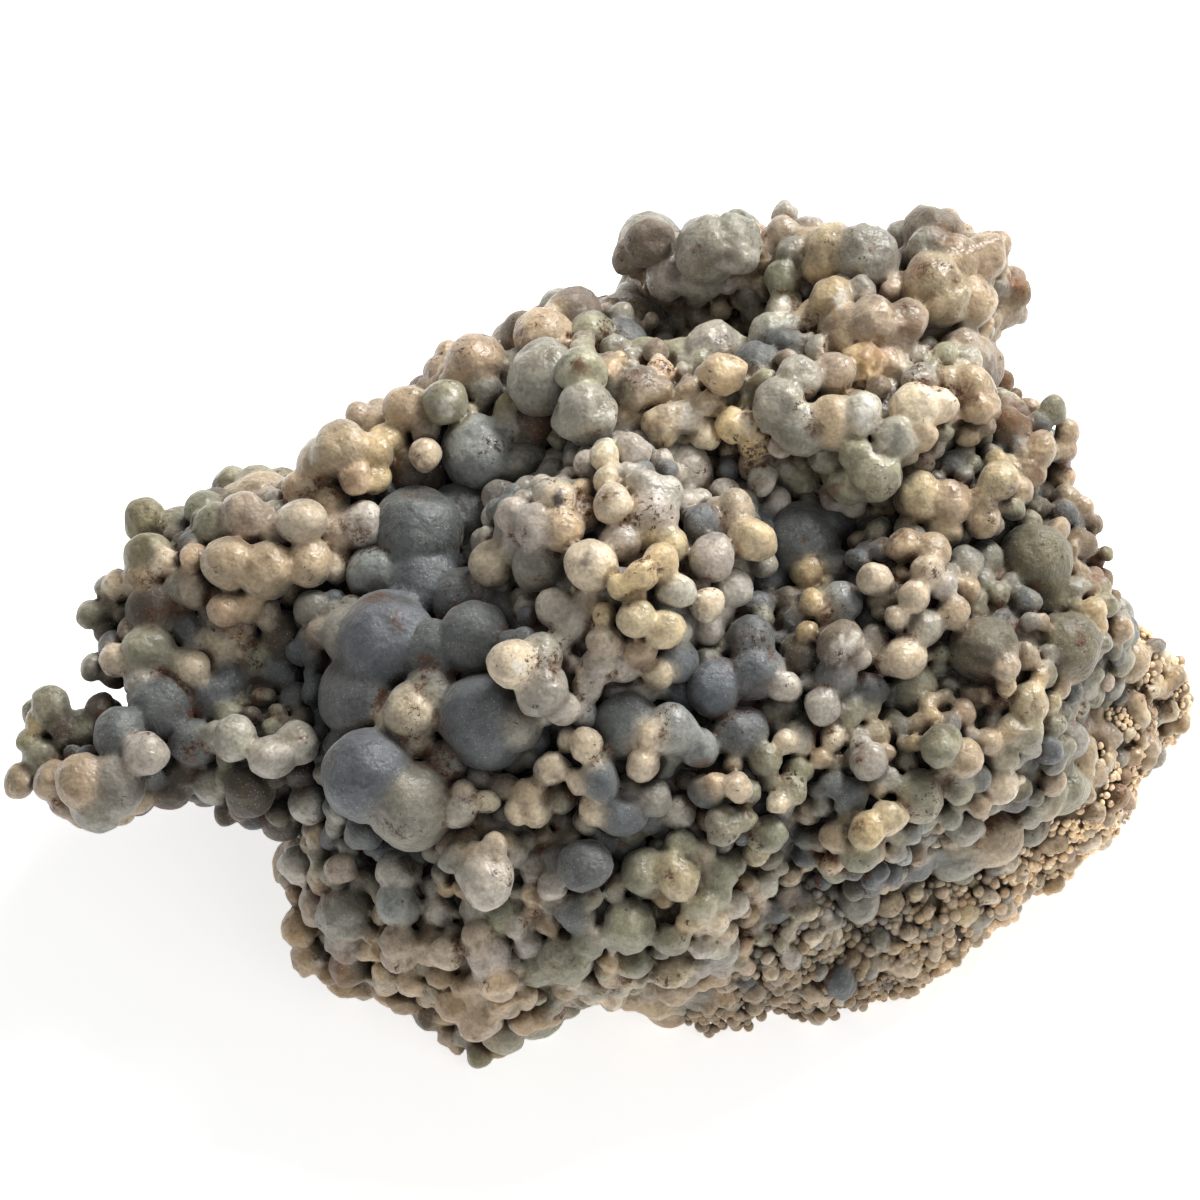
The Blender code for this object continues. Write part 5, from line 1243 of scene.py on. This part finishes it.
def floor_material():
    material = bpy.data.materials.new("White table")
    Nodes(material).shader_settings({
        "Base Color": (0.92, 0.92, 0.92, 1.0),
        "Roughness": 0.9,
        "Specular IOR Level": 0.1,
        "Emission Color": (1.0, 1.0, 1.0, 1.0),
        "Emission Strength": TABLE_GLOW,
    })
    return material


def stand(obj, side, over, back, place):
    """Puts an object at a place in metres, turned to its own three directions."""
    rows = [(side[k], over[k], back[k], place[k]) for k in range(3)]
    obj.matrix_world = Matrix(rows + [(0.0, 0.0, 0.0, 1.0)])
    bpy.context.scene.collection.objects.link(obj)


def add_camera():
    """The camera stands at the eye that the map is drawn for."""
    eye, forward, right, up = eye_axes()
    data = bpy.data.cameras.new("Camera")
    data.sensor_width = 36.0
    data.lens = data.sensor_width * MAP_SCALE * EYE_DISTANCE / MAP_WIDTH
    data.clip_start = 0.01
    camera = bpy.data.objects.new("Camera", data)
    stand(camera, right, up, -forward, (eye - SHIFT) * METRES_PER_MM)
    bpy.context.scene.camera = camera


def add_area(name, place, size, watts, tint):
    """A round lamp at a place in metres, turned to the middle of the stone."""
    data = bpy.data.lights.new(name, "AREA")
    data.shape = "DISK"
    data.size = size
    data.energy = watts
    data.color = tint
    lamp = bpy.data.objects.new(name, data)
    away = np.array(place) - np.array((0.0, 0.0, 0.03))
    away = away / np.linalg.norm(away)
    side = np.cross((0.0, 0.0, 1.0), away)
    side = side / np.linalg.norm(side)
    over = np.cross(away, side)
    stand(lamp, side, over, away, place)


def add_surroundings():
    """A plain pale studio: a world light, two lamps and a white table."""
    bpy.context.scene.view_settings.view_transform = "Standard"
    world = bpy.data.worlds.new("Studio")
    world.use_nodes = True
    background = world.node_tree.nodes["Background"]
    background.inputs["Color"].default_value = (1.0, 1.0, 1.0, 1.0)
    background.inputs["Strength"].default_value = WORLD_LIGHT
    bpy.context.scene.world = world
    add_area("Key", (0.40, 0.54, 0.62), 0.45, KEY_WATTS, (1.0, 0.985, 0.96))
    add_area("Fill", (0.5, -0.5, 0.6), 0.7, FILL_WATTS, (0.97, 0.985, 1.0))
    ways = ((-1, -1), (1, -1), (1, 1), (-1, 1))
    corners = [(TABLE_HALF * x, TABLE_HALF * y, -TABLE_DROP) for x, y in ways]
    floor = new_object("Table", np.array(corners), np.array([(0, 1, 2, 3)]), smooth=False)
    floor.data.materials.append(floor_material())


bodies = masses()
placed = placed_grapes(bodies)
grapes = placed + fill_grapes(bodies, placed)
colours = grape_colours(grapes)
rough = grown_field(bodies, list(enumerate(grapes)), ROUGH_STEP)
stone = chalcedony()

shown = [
    fused_piece(name, *settings, bodies, grapes, colours, rough)
    for name, settings in PIECES.items()
]
shown.append(druse_piece("fine_druse", bodies, rough))
for piece in shown:
    piece.data.materials.clear()
    piece.data.materials.append(stone)
    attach(piece, "root")
    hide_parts("grape_agate")
    print(piece.name, sum(len(face.vertices) - 2 for face in piece.data.polygons), "triangles")

add_camera()
add_surroundings()
